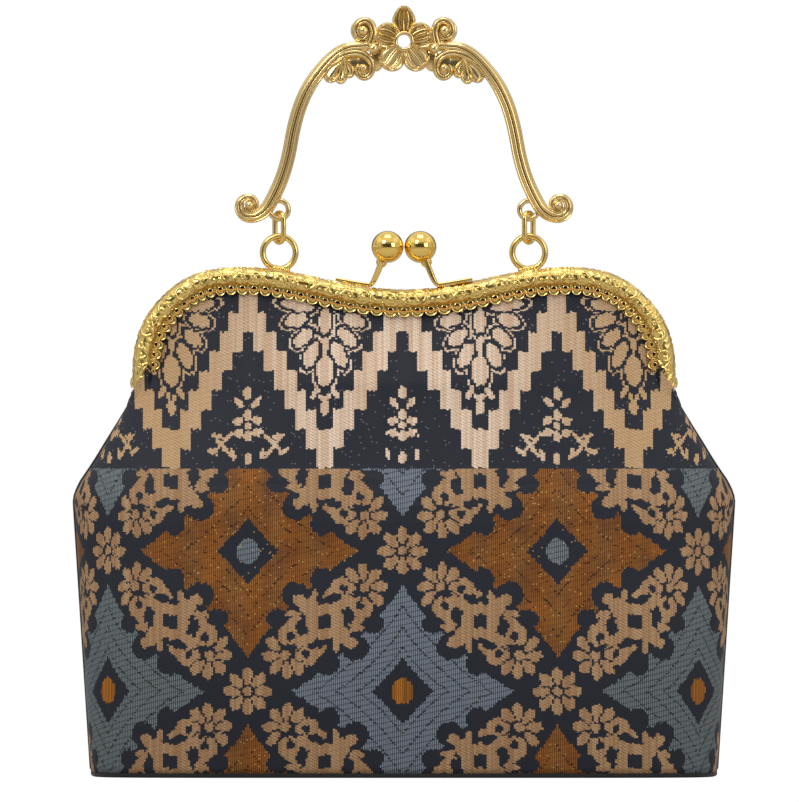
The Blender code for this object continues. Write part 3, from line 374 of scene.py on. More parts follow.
def brocade():
    cloth = Shade("brocade_cloth", "brocade")
    u, v = cloth.uv()
    warp = (u / THREAD).whole()
    ragged = cloth.random(cloth.place(warp, 3.0)) - 0.5
    across = warp * THREAD + THREAD / 2
    up = (v / WEFT).whole() * WEFT + ragged * 1.1

    # Lower lattice, folded on its mirror lines and then on the cell's half turn
    x = across.fold(CELL_X)
    y = (up - LATTICE_FOOT).fold(CELL_Y)
    turned = (y / CELL_Y).below(x / CELL_X)
    half_x = x + turned * (x * -2.0 + CELL_X)
    half_y = y + turned * (y * -2.0 + CELL_Y)
    half_place = cloth.place(half_x, half_y)
    tan = cloth.ovals(half_place, TAN_CROSS + TAN_CURLS + HALF_FLOWER + ROSETTE).below(1.0)
    holes = cloth.ovals(half_place, CURL_HOLES).below(1.0)
    middle = (half_x - CELL_X / 2).size().most((half_y - CELL_Y / 2).size()).below(2.6)
    tan = tan * holes.flipped() * middle.flipped()

    def petal_gaps(middle_x, middle_y, reach, degrees):
        """1 on the thin dark lines that part a flower's petals."""
        from_x = half_x - middle_x
        from_y = half_y - middle_y
        nearest = None
        for angle in map(math.radians, degrees):
            line = (from_x * math.cos(angle) - from_y * math.sin(angle)).size()
            nearest = nearest.least(line) if nearest else line
        distance = from_x.size().most(from_y.size())
        return nearest.below(0.32) * distance.below(reach) * distance.above(1.7)

    rosette_gaps = petal_gaps(0.0, CELL_Y, 10.0, (112.5, 157.5))
    gaps = rosette_gaps.most(petal_gaps(14.4, 39.6, 6.8, (27, -16, -64, -111)))
    tan = tan * gaps.flipped()
    lobes = cloth.ovals(half_place, NAVY_LOBES).below(1.0)

    def diamond(from_x, from_y):
        spread = (from_x / 42.6).power(0.86) + (from_y / 40.7).power(0.86)
        field = spread.below(1.0)
        star = ((from_x / 11.8).power(0.95) + (from_y / 12.8).power(0.95)).below(1.0)
        oval = ((from_x / 4.3) * (from_x / 4.3) + (from_y / 4.9) * (from_y / 4.9)).below(1.0)
        line = ((spread - 0.46) / 0.18).part().below(0.09) * spread.above(0.44)
        return field, star, oval, line

    ochre, ochre_star, ochre_oval, ochre_line = diamond(x * -1.0 + CELL_X, y * -1.0 + CELL_Y)
    slate, slate_star, slate_oval, slate_line = diamond(x, y)
    clear = lobes.flipped()
    ochre = ochre * clear
    slate = slate * clear

    # Thread marks: dark gaps between warp threads and slanted weft lines; and painted highlights, glints of
    # light on a few spots
    gap = (u / THREAD).part().below(0.32)
    slant = ((v - u * 0.22) / 2.1).part().below(0.22)
    twill = ((v / 1.15) + warp * 0.37).part().below(0.3)
    thread_tone = cloth.random(cloth.place(warp, 7.0))
    spot = cloth.random(cloth.place((u / 0.42).whole(), (v / 0.42).whole()))
    glint = spot.above(0.99)
    fleck = cloth.random(cloth.place(warp, (v / 0.9).whole())).below(0.6)
    drift = cloth.noise(cloth.place(u, v), 0.09, 3.0)

    ochre_tone = cloth.blend(thread_tone, OCHRE, srgb(116, 66, 30))
    ochre_tone = cloth.blend((drift - 0.5) * 1.4 + 0.25, ochre_tone, srgb(176, 112, 44))
    ochre_level = (gap * -0.7 + 1.0) * (slant * -0.22 + 1.0) * (ochre_line * fleck * -0.75 + 1.0)
    ochre_tone = cloth.shade_by(ochre_tone, ochre_level)
    # Painted shade: the cloth gets darker and browner towards the sides, where the bag turns away from the
    # light
    side_shade = ((u.size() - 34.0) / 50.0).kept()
    slate_tone = cloth.blend(gap, cloth.blend(side_shade, SLATE, srgb(110, 121, 124)), NAVY)
    slate_tone = cloth.shade_by(slate_tone, (slant * -0.45 + 1.0) * (slate_line * -0.75 + 1.0))

    lower = cloth.blend(ochre, NAVY, ochre_tone)
    lower = cloth.blend(slate, lower, slate_tone)
    lower = cloth.blend(ochre_star, lower, NAVY)
    lower = cloth.blend(slate_star, lower, NAVY)
    lower = cloth.blend(ochre_oval, lower, slate_tone)
    lower = cloth.blend(slate_oval, lower, cloth.shade_by(cloth.blend(thread_tone, ORANGE, OCHRE),
                                                          gap * -0.5 + 1.0))
    tan_tone = cloth.blend(thread_tone, TAN, srgb(160, 122, 86))
    tan_level = (twill * -0.4 + 1.0) * (gap * twill * -0.35 + 1.0) * (slant * -0.12 + 1.0)
    tan_tone = cloth.shade_by(tan_tone, tan_level)
    lower = cloth.blend(tan, lower, tan_tone)

    # Upper band: stepped chevrons, palmettes in the troughs and sprays under the peaks
    from_trough = (across - CELL_X / 2).fold(CELL_X / 2)
    from_peak = from_trough * -1.0 + CELL_X / 2
    row = ((up - CHEVRON_FOOT) / ROW_HEIGHT).whole()
    low = (row - 2.0) * 3.75 + 3.4
    high = row * 4.05 + 3.3
    chevron = from_trough.above(low) * from_trough.below(high).most(row.above(LAST_ROW)) * row.above(-0.5)
    chevron = chevron * from_peak.above(2.1).most(row.above(LAST_ROW))
    trough_place = cloth.place(from_trough, up)
    peak_place = cloth.place(from_peak, up)
    palmette = cloth.ovals(trough_place, PALMETTE)
    petals = palmette.below(1.0)
    contour = palmette.above(1.38) * palmette.below(1.56) * up.above(146.0)
    stem = from_trough.below(0.7) * up.above(158.0) * up.below(166.0)
    sprigs = cloth.ovals(trough_place, SPRIG).below(1.0)
    flowers = cloth.ovals(peak_place, PEAK_FLOWER).below(1.0)
    centre_peak = across.size().below(20.0) * from_peak.above(6.5)
    flowers = flowers * centre_peak.flipped()
    upper_tan = chevron.most(petals).most(contour).most(stem).most(sprigs).most(flowers)
    pale = cloth.blend(thread_tone, PALE_TAN, srgb(208, 176, 148))
    # Painted shade: the pale tan darkens and turns browner towards the sides
    pale = cloth.blend(side_shade * 0.9, pale, srgb(186, 150, 106))
    pale = cloth.shade_by(pale, (twill * -0.3 + 1.0) * (gap * twill * -0.28 + 1.0) * (slant * -0.1 + 1.0))
    upper = cloth.blend(upper_tan, NAVY, pale)

    is_upper = v.above(CHANGE_LINE)
    colour = cloth.blend(is_upper, lower, upper)
    # Painted highlights: glints of light on a few spots, mostly on the ochre below and near white on the
    # upper band
    shine = is_upper * 0.22 + is_upper.flipped() * ochre * 0.5
    colour = cloth.blend(glint * shine, colour, cloth.blend(is_upper, GLINT_HIGHLIGHT, srgb(226, 222, 226)))
    grain = (gap * -0.5) + (twill * -0.3)
    cloth.bump(grain, 0.16 * MM, 0.8)
    cloth.put(Base_Color=colour, Roughness=0.6, Specular_IOR_Level=0.2)
    cloth.put(Sheen_Weight=0.06, Sheen_Roughness=0.4)
    return cloth


def plain_cloth(name, slot, colour, thread, roughness):
    cloth = Shade(name, slot)
    u, v = cloth.uv()
    over = (u / thread).part()
    under = (v / thread).part()
    weave = (over - 0.5).size() + (under - 0.5).size()
    tone = cloth.random(cloth.place((u / thread).whole(), (v / thread).whole()))
    colour = cloth.blend(tone, colour, tuple(0.7 * c for c in colour))
    cloth.put(Base_Color=cloth.shade_by(colour, weave * -0.5 + 1.1), Roughness=roughness, Sheen_Weight=0.2)
    cloth.bump(weave * -1.0, 0.12 * MM)
    return cloth


def gilt(name, slot, bright, deep, roughness, grain, hollow_shade):
    """Gold plate with painted shade in its hollows and fine wear."""
    metal = Shade(name, slot)
    place = metal.object_place()
    cloudy = metal.noise(place, 90.0, 3.0)
    fine = metal.noise(place, 900.0, 2.0)
    hollow = Wire(metal, metal.node("ShaderNodeNewGeometry").outputs["Pointiness"])
    # Painted shade: hollows, found by pointiness, take the deep colour
    depth = ((hollow - 0.5) * -13.0 + 0.04).kept()
    colour = metal.blend(depth * hollow_shade, bright, deep)
    warm = tuple(c * f for c, f in zip(bright, (1.0, 0.9, 0.72)))
    colour = metal.blend((cloudy - 0.45) * 1.2, colour, warm)
    metal.put(Base_Color=colour, Metallic=1.0, Roughness=(fine * 0.1) + (depth * 0.2) + roughness)
    metal.bump(fine, grain)
    return metal


def thread_material():
    thread = Shade("sewing_thread", "gold_plate")
    u, v = thread.uv()
    strand = ((u / 0.9) + v).part()
    tone = (strand - 0.5).size()
    colour = thread.blend(tone * 1.6, srgb(206, 130, 36), srgb(246, 190, 84))
    thread.put(Base_Color=colour, Roughness=0.55, Sheen_Weight=0.3)
    thread.bump(tone, 0.08 * MM)
    return thread


def board_material():
    board = Shade("pressed_board", "board")
    grain = board.noise(board.object_place(), 240.0, 4.0)
    board.put(Base_Color=board.blend(grain, srgb(120, 96, 70), srgb(160, 134, 102)), Roughness=0.85)
    board.bump(grain, 0.2 * MM)
    return board


# Shapes


def flowing(knots, share, steps):
    """Smooth line through knots of a place and a direction."""
    points = []
    for (start, start_way), (end, end_way) in zip(knots, knots[1:]):
        reach = (end - start).length * share
        for i in range(steps):
            points.append(bezier(start, start + start_way * reach, end - end_way * reach, end, i / steps))
    return points + [knots[-1][0]]


def placed(name, data):
    obj = bpy.data.objects.new(name, data)
    bpy.context.scene.collection.objects.link(obj)
    return obj


def shaped(name, shape):
    """Object from a bmesh."""
    mesh = bpy.data.meshes.new(name)
    shape.to_mesh(mesh)
    shape.free()
    return placed(name, mesh)


def ring_faces(low, high, count):
    """Quads between two closed rings of points, given by each ring's first point."""
    return [(low + k, low + (k + 1) % count, high + (k + 1) % count, high + k) for k in range(count)]


def round_bar(radius, sides=14):
    turns = [2 * math.pi * k / sides for k in range(sides)]
    return [(math.cos(t) * radius, math.sin(t) * radius) for t in turns]


def add_grid(name, rows, uvs=None):
    """Quads between rows of points of the same length."""
    count = len(rows[0])
    faces = [(a, a + 1, a + 1 + count, a + count)
             for r in range(len(rows) - 1) for a in range(r * count, (r + 1) * count - 1)]
    points = [p for row in rows for p in row]
    return add_mesh(name, points, faces, [uv for row in uvs for uv in row] if uvs else None)


def add_mesh(name, points, faces, uvs=None):
    mesh = bpy.data.meshes.new(name)
    mesh.from_pydata([tuple(p) for p in points], [], faces)
    mesh.update()
    if uvs:
        layer = mesh.uv_layers.new(name="cloth_millimetres")
        for loop in mesh.loops:
            layer.data[loop.index].uv = uvs[loop.vertex_index]
    return placed(name, mesh)


def outward(obj):
    shape = bmesh.new()
    shape.from_mesh(obj.data)
    bmesh.ops.recalc_face_normals(shape, faces=shape.faces)
    shape.to_mesh(obj.data)
    shape.free()
    return obj


def smooth(obj, degrees=45):
    obj.data.shade_smooth()
    obj.data.set_sharp_from_angle(angle=math.radians(degrees))
    return obj


def joined(name, objects):
    """One object from several meshes, in place."""
    shape = bmesh.new()
    for obj in objects:
        shape.from_mesh(obj.data)
        bpy.data.objects.remove(obj)
    return smooth(shaped(name, shape), 55)


def resample(points, count):
    """(point, direction) at equal steps along a line of points."""
    line = np.array([tuple(p) for p in points])
    steps = np.linalg.norm(np.diff(line, axis=0), axis=1)
    lengths = np.concatenate([[0.0], np.cumsum(steps)])
    result = []
    for target in np.linspace(0, lengths[-1], count):
        k = min(max(int(np.searchsorted(lengths, target)) - 1, 0), len(points) - 2)
        share = (target - lengths[k]) / (lengths[k + 1] - lengths[k])
        way = Vector(line[k + 1] - line[k]).normalized()
        result.append((Vector(line[k] + (line[k + 1] - line[k]) * share), way))
    return result


def tube(name, path, section, closed=False, scale=None, up=Vector((0, 1, 0))):
    """Bar of a given section along a path that lies in a plane square to up."""
    count = len(path)
    n = len(section)
    points = []
    for i, place in enumerate(path):
        before = path[i - 1] if closed or i else path[0]
        after = path[(i + 1) % count] if closed or i < count - 1 else path[-1]
        way = (after - before).normalized()
        side = way.cross(up).normalized()
        lift = side.cross(way).normalized()
        size = scale(i / (count - 1)) if scale else 1.0
        points += [place + side * a * size + lift * b * size for a, b in section]
    faces = []
    for r in range(count - 1):
        faces += ring_faces(r * n, (r + 1) * n, n)
    if closed:
        faces += ring_faces((count - 1) * n, 0, n)
    else:
        faces += [tuple(range(n)), tuple(reversed(range((count - 1) * n, count * n)))]
    uvs = [(i * 0.5, k / n) for i in range(count) for k in range(n)]
    return smooth(outward(add_mesh(name, points, faces, uvs)), 60)


def ball(name, centre, radius, sides=24):
    shape = bmesh.new()
    bmesh.ops.create_uvsphere(shape, u_segments=sides, v_segments=sides // 2, radius=radius)
    bmesh.ops.translate(shape, vec=centre, verts=shape.verts)
    return smooth(shaped(name, shape), 60)


# Bag outline: the CAD part's, with slightly hollow sides at the neck and a softer fold at the shoulder

NECK_HOLLOW = 1.2 * MM


def bag_half_width(z):
    if z <= SHOULDER_HEIGHT:
        width = mix(BASE_HALF_WIDTH, SHOULDER_HALF_WIDTH, z / SHOULDER_HEIGHT)
    else:
        rise = (z - SHOULDER_HEIGHT) / (HINGE_HEIGHT - LEG_BELOW_HINGE - SHOULDER_HEIGHT)
        width = mix(SHOULDER_HALF_WIDTH, FRAME_HALF_WIDTH, min(rise, 1.0))
        width -= NECK_HOLLOW * math.sin(math.pi * min(rise, 1.0) ** 0.7)
    blunt = max(0.0, 1 - abs(z - SHOULDER_HEIGHT) / SHOULDER_ROUNDING)
    return width - 0.25 * SHOULDER_ROUNDING * blunt * blunt


def bag_half_depth(z):
    """Half depth, with the fold at the shoulder rounded off."""
    return sum(sharp_half_depth(z + shift * MM) for shift in (-9, -5, -2, 0, 2, 5, 9)) / 7


def sharp_half_depth(z):
    if z <= SHOULDER_HEIGHT:
        rise = max(z, 0.0) / SHOULDER_HEIGHT
        belly = BELLY_BULGE * math.sin(math.pi * min(1.0, 1.3 * rise))
        return mix(BASE_HALF_DEPTH, SHOULDER_HALF_DEPTH, rise * rise) + belly
    rise = (z - SHOULDER_HEIGHT) / (HINGE_HEIGHT - SHOULDER_HEIGHT)
    slope = mix(SHOULDER_HALF_DEPTH, NECK_HALF_DEPTH, min(rise, 1.0))
    return slope + BELLY_BULGE * math.sin(math.pi * 1.3) * (1 - min(rise, 1.0))


def bag_squareness(z):
    if z <= SHOULDER_HEIGHT:
        return mix(BASE_SQUARENESS, SHOULDER_SQUARENESS, z / SHOULDER_HEIGHT)
    rise = (z - SHOULDER_HEIGHT) / (HINGE_HEIGHT - SHOULDER_HEIGHT)
    return mix(SHOULDER_SQUARENESS, NECK_SQUARENESS, min(rise, 1.0))


def half_section(z, inset, shares):
    """(x, depth, distance along the cloth) at shares of the way from the front's middle to the side."""
    q = np.linspace(0.0, 1.0, 500)
    angle = (math.pi / 2) * q**3
    power = bag_squareness(z)
    x = np.sin(angle) ** (2 / power) * (bag_half_width(z) - inset)
    depth = np.maximum(np.cos(angle), 0) ** (2 / power) * (bag_half_depth(z) - inset)
    length = np.concatenate([[0.0], np.cumsum(np.hypot(np.diff(x), np.diff(depth)))])
    along = np.asarray(shares) * length[-1]
    return np.interp(along, length, x), np.interp(along, length, depth), along


def frame_half_path():
    corner = Vector((FRAME_HALF_WIDTH - FRAME_CORNER_INSET, 0, FRAME_HUMP_HEIGHT - FRAME_CORNER_DROP))
    knots = [
        (Vector((0, 0, FRAME_DIP_HEIGHT)), Vector((1, 0, 0))),
        (Vector((FRAME_HUMP_X, 0, FRAME_HUMP_HEIGHT)), Vector((1, 0, 0))),
        (corner, Vector((0.72, 0, -0.69)).normalized()),
        (Vector((FRAME_HALF_WIDTH, 0, HINGE_HEIGHT + LUG_RADIUS)), Vector((0, 0, -1))),
        (Vector((FRAME_HALF_WIDTH, 0, HINGE_HEIGHT - LEG_BELOW_HINGE)), Vector((0, 0, -1))),
    ]
    return flowing(knots, 0.38, 60)


HALF_PATH = frame_half_path()
WHOLE_PATH = [Vector((-p.x, 0, p.z)) for p in reversed(HALF_PATH[1:])] + HALF_PATH
FINE_PATH = resample(WHOLE_PATH, 2400)
PATH_LENGTH = sum((b[0] - a[0]).length for a, b in zip(FINE_PATH, FINE_PATH[1:]))
PITCH = PATH_LENGTH / SCALLOP_COUNT


def frame_top(x):
    for a, b in zip(HALF_PATH, HALF_PATH[1:]):
        if a.x <= abs(x) <= b.x:
            return mix(a.z, b.z, (abs(x) - a.x) / max(b.x - a.x, 1e-9))
    return HINGE_HEIGHT


def on_frame(along, depth, inside, side):
    """Point on a frame half: distance along the path, from the meeting plane and inside the outer edge."""
    reach = 3.0 * LUG_RADIUS
    from_end = min(along, PATH_LENGTH - along)
    share = max(0.0, 1 - from_end / reach)
    pull = share * share * (LEG_BELOW_HINGE + 0.6 * MM) * max(0.0, 1 - depth / TUBE_DEPTH)
    along += pull if along < PATH_LENGTH / 2 else -pull
    share = min(max(along / PATH_LENGTH, 0.0), 1.0) * (len(FINE_PATH) - 1)
    k = min(int(share), len(FINE_PATH) - 2)
    point = FINE_PATH[k][0].lerp(FINE_PATH[k + 1][0], share - k)
    way = FINE_PATH[k][1].lerp(FINE_PATH[k + 1][1], share - k).normalized()
    out = Vector((-way.z, 0, way.x))
    return point - out * inside + Vector((0, side * depth, 0))


def inner_edge_table(inset):
    """Height at each x of the line that lies inset inside the frame's outer edge."""
    line = [place - Vector((-way.z, 0, way.x)) * inset for place, way in FINE_PATH]
    middle = [p for p in line if p.z > HINGE_HEIGHT]
    return np.array([p.x for p in middle]), np.array([p.z for p in middle])


# Cloth

CLOTH_COLUMNS = 110
FRAME_COLUMNS = 84
NECK_ROWS = 26
LINING_FLOOR = 4.6 * MM
FLANGE_ROOT = TUBE_HEIGHT - 1.3 * MM
FLANGE_END_X = 96.6 * MM
LEG_INNER_X = 96.7 * MM
LEG_FADE = 6.3 * MM
PATTERN_MIDDLE = -0.6
# The cloth laps over the outside of the frame's legs, the lining ends under them
LAP_START = 138 * MM
LAP_TOP = 155 * MM
LINING_TOP = 150 * MM
CAMERA_HEIGHT = 142.1


def texture_place(along, z):
    """Pattern millimetres of a place on the cloth, scaled to look as large as in the photo."""
    z = z / MM
    scale = mix(1.009, 1.003, smoothstep((z - 112) / 45))
    turned = max(0.0, abs(along) / MM - 88)
    along = along / MM * scale + math.copysign(0.0085 * turned * turned, along) * smoothstep((150 - z) / 40)
    return along, CAMERA_HEIGHT + (z - CAMERA_HEIGHT) * scale


def cloth_shares():
    """Column places from the middle to the side seam; the first ones reach the frame's flange."""
    fine = np.linspace(0, 1, 400)
    flange = np.interp(FLANGE_END_X, half_section(HINGE_HEIGHT, 0.0, fine)[0], fine)
    inner = np.linspace(0, flange, FRAME_COLUMNS + 1)
    return np.concatenate([inner, np.linspace(flange, 1.0, CLOTH_COLUMNS - FRAME_COLUMNS + 1)[1:]])


def wrinkled(x, depth, z, side, puckers):
    """Depth of a place on the cloth with puckers under the frame and soft unevenness."""
    slack = puckers * smoothstep((z - 0.125) / 0.03) * max(0.0, 1 - abs(x) / (100 * MM))
    slack *= 1 - smoothstep((z - 0.165) / 0.02)
    wave = math.sin(x / MM * 0.42 + 1.7 * math.sin(x / MM * 0.11)) * slack
    soft = noise.noise(Vector((x * 22, z * 18, side * 3.0))) * puckers * 1.6 * smoothstep(z / 0.02)
    soft *= 1 - smoothstep((z - 0.15) / 0.03)
    soft *= 1 - smoothstep((abs(x) - 0.1) / 0.02)
    return depth + wave + soft


def cloth_half(name, side, inset, floor, behind, puckers, lap_legs):
    """Cloth of one side from the floor up to behind the flange, with its distances as texture places."""
    shares = cloth_shares()
    edge_x, edge_z = inner_edge_table(FLANGE_ROOT)
    lip_x, lip_z = inner_edge_table(TUBE_HEIGHT + FLANGE_HEIGHT)
    back = FLANGE_DEPTH - FRAME_WALL - 0.3 * MM - inset - behind
    heights = np.concatenate([
        np.linspace(floor, SHOULDER_HEIGHT - 6 * MM, 44),
        np.linspace(SHOULDER_HEIGHT - 5 * MM, SHOULDER_HEIGHT + 5 * MM, 12),
        np.linspace(SHOULDER_HEIGHT + 6 * MM, 140 * MM, 16),
    ])
    neck_x = half_section(HINGE_HEIGHT, inset, shares)[0]
    top = np.interp(neck_x, edge_x, edge_z)
    lip = np.interp(neck_x, lip_x, lip_z)
    past = neck_x > LEG_INNER_X
    leave = np.clip((neck_x - LEG_INNER_X) / LEG_FADE, 0, 1)
    drop = leave * 10.0 * MM if lap_legs else np.clip(leave * 3, 0, 1) * 9.4 * MM
    top = np.where(past, (LAP_TOP if lap_legs else LINING_TOP) - drop, top)
    rows = []
    for z in heights:
        x, depth, along = half_section(z, inset, shares)
        rows.append([(a, d, z, texture_place(s, z)) for a, d, s in zip(x, depth, along)])
    for share in np.linspace(0.0, 1.0, NECK_ROWS)[1:]:
        row = []
        for k in range(len(shares)):
            z = mix(heights[-1], top[k], share)
            place = half_section(min(z, HINGE_HEIGHT), inset, shares[k:k + 1])
            x, depth, along = (float(value[0]) for value in place)
            cover = 0.0
            if lap_legs and z > LAP_START:
                cover = smoothstep((x - 88 * MM) / (6 * MM)) * smoothstep((z - LAP_START) / 0.006)
                cover *= 1.0 if past[k] else 1 - smoothstep((z - 0.152) / 0.004)
            if z > HINGE_HEIGHT and not (lap_legs and past[k]):
                rise = (z - HINGE_HEIGHT) / max(lip[k] - HINGE_HEIGHT, 2 * MM)
                depth = mix(depth, back, min(rise, 1.0)) if depth > back else depth
            depth = max(depth, cover * (TUBE_DEPTH + 0.7 * MM) * (1 - leave[k] ** 7))
            x += 0.9 * MM * leave[k] * cover
            row.append((x, depth, z, texture_place(along, z)))
        rows.append(row)
    grid = []
    uvs = []
    for row in rows:
        line = []
        marks = []
        for sign, place in [(-1, place) for place in reversed(row[1:])] + [(1, place) for place in row]:
            x, depth, z, (along, height) = place
            line.append((sign * x, side * max(wrinkled(sign * x, depth, z, side, puckers), 0.15 * MM), z))
            marks.append((sign * along - PATTERN_MIDDLE, height))
        grid.append(line)
        uvs.append(marks)
    obj = add_grid(name, grid, uvs)
    if side > 0:
        obj.data.flip_normals()
    return smooth(obj, 60)


def build_cloth(pattern, lining):
    for side, label in ((-1, "front"), (1, "back")):
        cloth = cloth_half(f"{label}_cloth", side, 0.0, CLOTH_BOTTOM, 0.0, 0.45 * MM, True)
        wall = cloth.modifiers.new("cloth_thickness", "SOLIDIFY")
        wall.thickness = CLOTH_THICKNESS * 0.8
        wall.offset = -1
        pattern.wear(cloth)
        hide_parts(f"{label}_panel", f"{label}_panel_top")
        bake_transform(cloth)
        inner = cloth_half(f"{label}_lining_cloth", side, LINING_INSET, LINING_FLOOR, 0.2 * MM, 0.3 * MM,
                           False)
        lining.wear(inner)
        nodes = ["lining", f"{label}_lining_top"] if side < 0 else [f"{label}_lining_top"]
        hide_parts(*nodes)
        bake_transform(inner)


def outline_ring(z_section, z, inset):
    """Closed ring of points round the bag at a height."""
    x, depth, _ = half_section(z_section, inset, np.linspace(0, 1, 41))
    quarter = list(zip(x, depth))
    ring = [(a, -d) for a, d in quarter] + [(a, d) for a, d in reversed(quarter[:-1])]
    ring += [(-a, d) for a, d in quarter[1:]] + [(-a, -d) for a, d in reversed(quarter[1:-1])]
    return [(a, d, z) for a, d in ring]


def build_base(base_cloth, lining):
    rows = []
    for z, inset in ((0.0, 4.0), (0.0, 1.2), (0.25, 0.45), (0.7, 0.05), (1.3, 0.0), (1.8, 0.15), (2.1, 1.5)):
        rows.append(outline_ring(CLOTH_BOTTOM, z * MM, inset * MM))
    points = [p for row in rows for p in row]
    n = len(rows[0])
    faces = [tuple(reversed(range(n)))]
    for r in range(len(rows) - 1):
        faces += ring_faces(r * n, (r + 1) * n, n)
    faces.append(tuple(range((len(rows) - 1) * n, len(rows) * n)))
    uvs = [(p[0] / MM, (p[1] + p[2]) / MM) for p in points]
    base = smooth(outward(add_mesh("base_cloth", points, faces, uvs)), 40)
    base_cloth.wear(base)
    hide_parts("base_panel")
    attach(base, "bag")
    ring = outline_ring(LINING_FLOOR, LINING_FLOOR, LINING_INSET)
    floor = add_mesh("lining_floor", ring, [tuple(range(len(ring)))], [(p[0] / MM, p[1] / MM) for p in ring])
    lining.wear(floor)
    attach(floor, "bag")
    for sign, label in ((-1, "left"), (1, "right")):
        heights = [float(z) for z in np.linspace(2.2 * MM, 140 * MM, 70)]
        path = [Vector((sign * (bag_half_width(z) + 0.1 * MM), 0, z)) for z in heights]
        seam = tube(f"{label}_side_seam", path, round_bar(0.75 * MM, 10),
                    scale=lambda t: min(1.0, 0.1 + (1 - t) * 9))
        base_cloth.wear(seam)
        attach(seam, "bag")


# Frame halves

RELIEF = 0.36 * MM
STATIONS = 1900
FACE_SHARES = 46
# The face seen in front starts at this share of the section, which is this many millimetres long
FACE_START = 0.32
FACE_LENGTH = 11.8
# Slot in the front half: where its middle is, and its half length, half width and depth
SLOT_X = -37.1 * MM
SLOT_INSIDE = 3.3 * MM
SLOT_HALF_LENGTH = 1.6 * MM
SLOT_HALF_WIDTH = 0.36 * MM
SLOT_DEPTH = 0.9 * MM

# Embossed ornament in millimetres, repeated along the tube and turned over each time
SCROLL_LENGTH = 21.0
SCROLL_HALF_WIDTH = 4.0
# Curls: x, y, radius, start angle and sense of turning
SCROLL_CURLS = [(-5.4, 0.5, 3.3, 0.4, 1), (5.4, -0.5, 3.3, 3.5, 1), (0.0, 1.9, 1.8, 5.0, -1)]
# Leaves: x, y and tilt
SCROLL_LEAVES = [(-9.3, -1.6, 0.9), (-1.6, -2.4, -0.5), (2.4, -2.0, 0.6), (9.0, 1.8, -0.8), (-2.2, 3.0, 0.2)]
SCROLL_STUDS = [(-8.2, 2.6), (8.2, -2.6), (0.6, -0.6)]

# Sewing flange and its thread
HOLE_RADIUS = 0.7 * MM
HOLE_INSIDE = TUBE_HEIGHT + 0.2 * MM
LOBE_RADIUS = 2.5 * MM
LOBE_MIDDLE = TUBE_HEIGHT + FLANGE_HEIGHT - LOBE_RADIUS
LOBE_SIDES = 28
# From the hole to the lobe's outline: share of the way, height in millimetres, and height at the root
LOBE_PROFILE = [(0.0, -0.05, -0.05), (0.1, 0.16, 0.16), (0.25, 0.02, 0.02), (0.72, 0.0, 0.0),
                (0.88, 0.2, 0.0), (1.0, 0.02, 0.0)]
THREAD_STEPS = 10


def section_curve(shares):
    """(depth, distance inside the outer edge) over the tube's face, smoothed through the CAD section."""
    knots = [(0.15, 0.45), (1.2, 0.02), (2.4, 0.0), (4.2, 0.5), (5.6, 1.5), (6.3, 2.7), (6.4, 3.9),
             (6.0, 5.1), (5.3, 6.0), (4.6, 6.5)]
    lengths = [0.0]
    for a, b in zip(knots, knots[1:]):
        lengths.append(lengths[-1] + math.dist(a, b))
    along = shares * lengths[-1]
    depth = np.interp(along, lengths, [k[0] for k in knots])
    inside = np.interp(along, lengths, [k[1] for k in knots])
    return depth * MM, inside * MM


def scroll_relief(s, y):
    """Embossed ornament from 0 to 1 at s millimetres along the tube and y millimetres across its face."""
    cell = math.floor(s / SCROLL_LENGTH)
    x = s - cell * SCROLL_LENGTH - SCROLL_LENGTH / 2
    if cell % 2:
        y = -y
    best = 0.0

    def ridge(distance, width):
        return max(0.0, 1 - (distance / width) ** 2)

    for cx, cy, radius, start, turn in SCROLL_CURLS:
        dx = x - cx
        dy = y - cy
        reach = math.hypot(dx, dy)
        angle = (math.atan2(dy, dx) * turn - start) % (2 * math.pi)
        line = radius * (1 - 0.55 * angle / (2 * math.pi))
        best = max(best, ridge(abs(reach - line), 0.5))
        best = max(best, ridge(reach, 0.7) * 0.9)
    wave = 3.0 * math.sin(x * 2 * math.pi / SCROLL_LENGTH + 0.6)
    best = max(best, ridge(abs(y - wave * 0.9), 0.4) * 0.8)
    for cx, cy, tilt in SCROLL_LEAVES:
        dx = (x - cx) * math.cos(tilt) + (y - cy) * math.sin(tilt)
        dy = -(x - cx) * math.sin(tilt) + (y - cy) * math.cos(tilt)
        leaf = 1 - (dx / 2.1) ** 2 - (dy / 0.8) ** 2
        if leaf > 0:
            best = max(best, min(1.0, leaf * 1.3) * (0.72 + 0.28 * math.cos(dy * 9)))
    for cx, cy in SCROLL_STUDS:
        reach = math.hypot(x - cx, y - cy)
        best = max(best, ridge(abs(reach - 0.65), 0.34))
    return best


def lobe_reach(dx, dy):
    """Distance from a sewing hole to its lobe's outline: side line, root line or round edge."""
    limits = [1.0]
    if abs(dx) > 1e-6:
        limits.append(PITCH / 2 / abs(dx))
    if dy < 0:
        return min(*limits, (HOLE_INSIDE - FLANGE_ROOT) / -dy)
    offset = HOLE_INSIDE - LOBE_MIDDLE
    inside_root = LOBE_RADIUS * LOBE_RADIUS - (offset * dx) ** 2
    return min(*limits, -offset * dy + math.sqrt(max(inside_root, 0)))


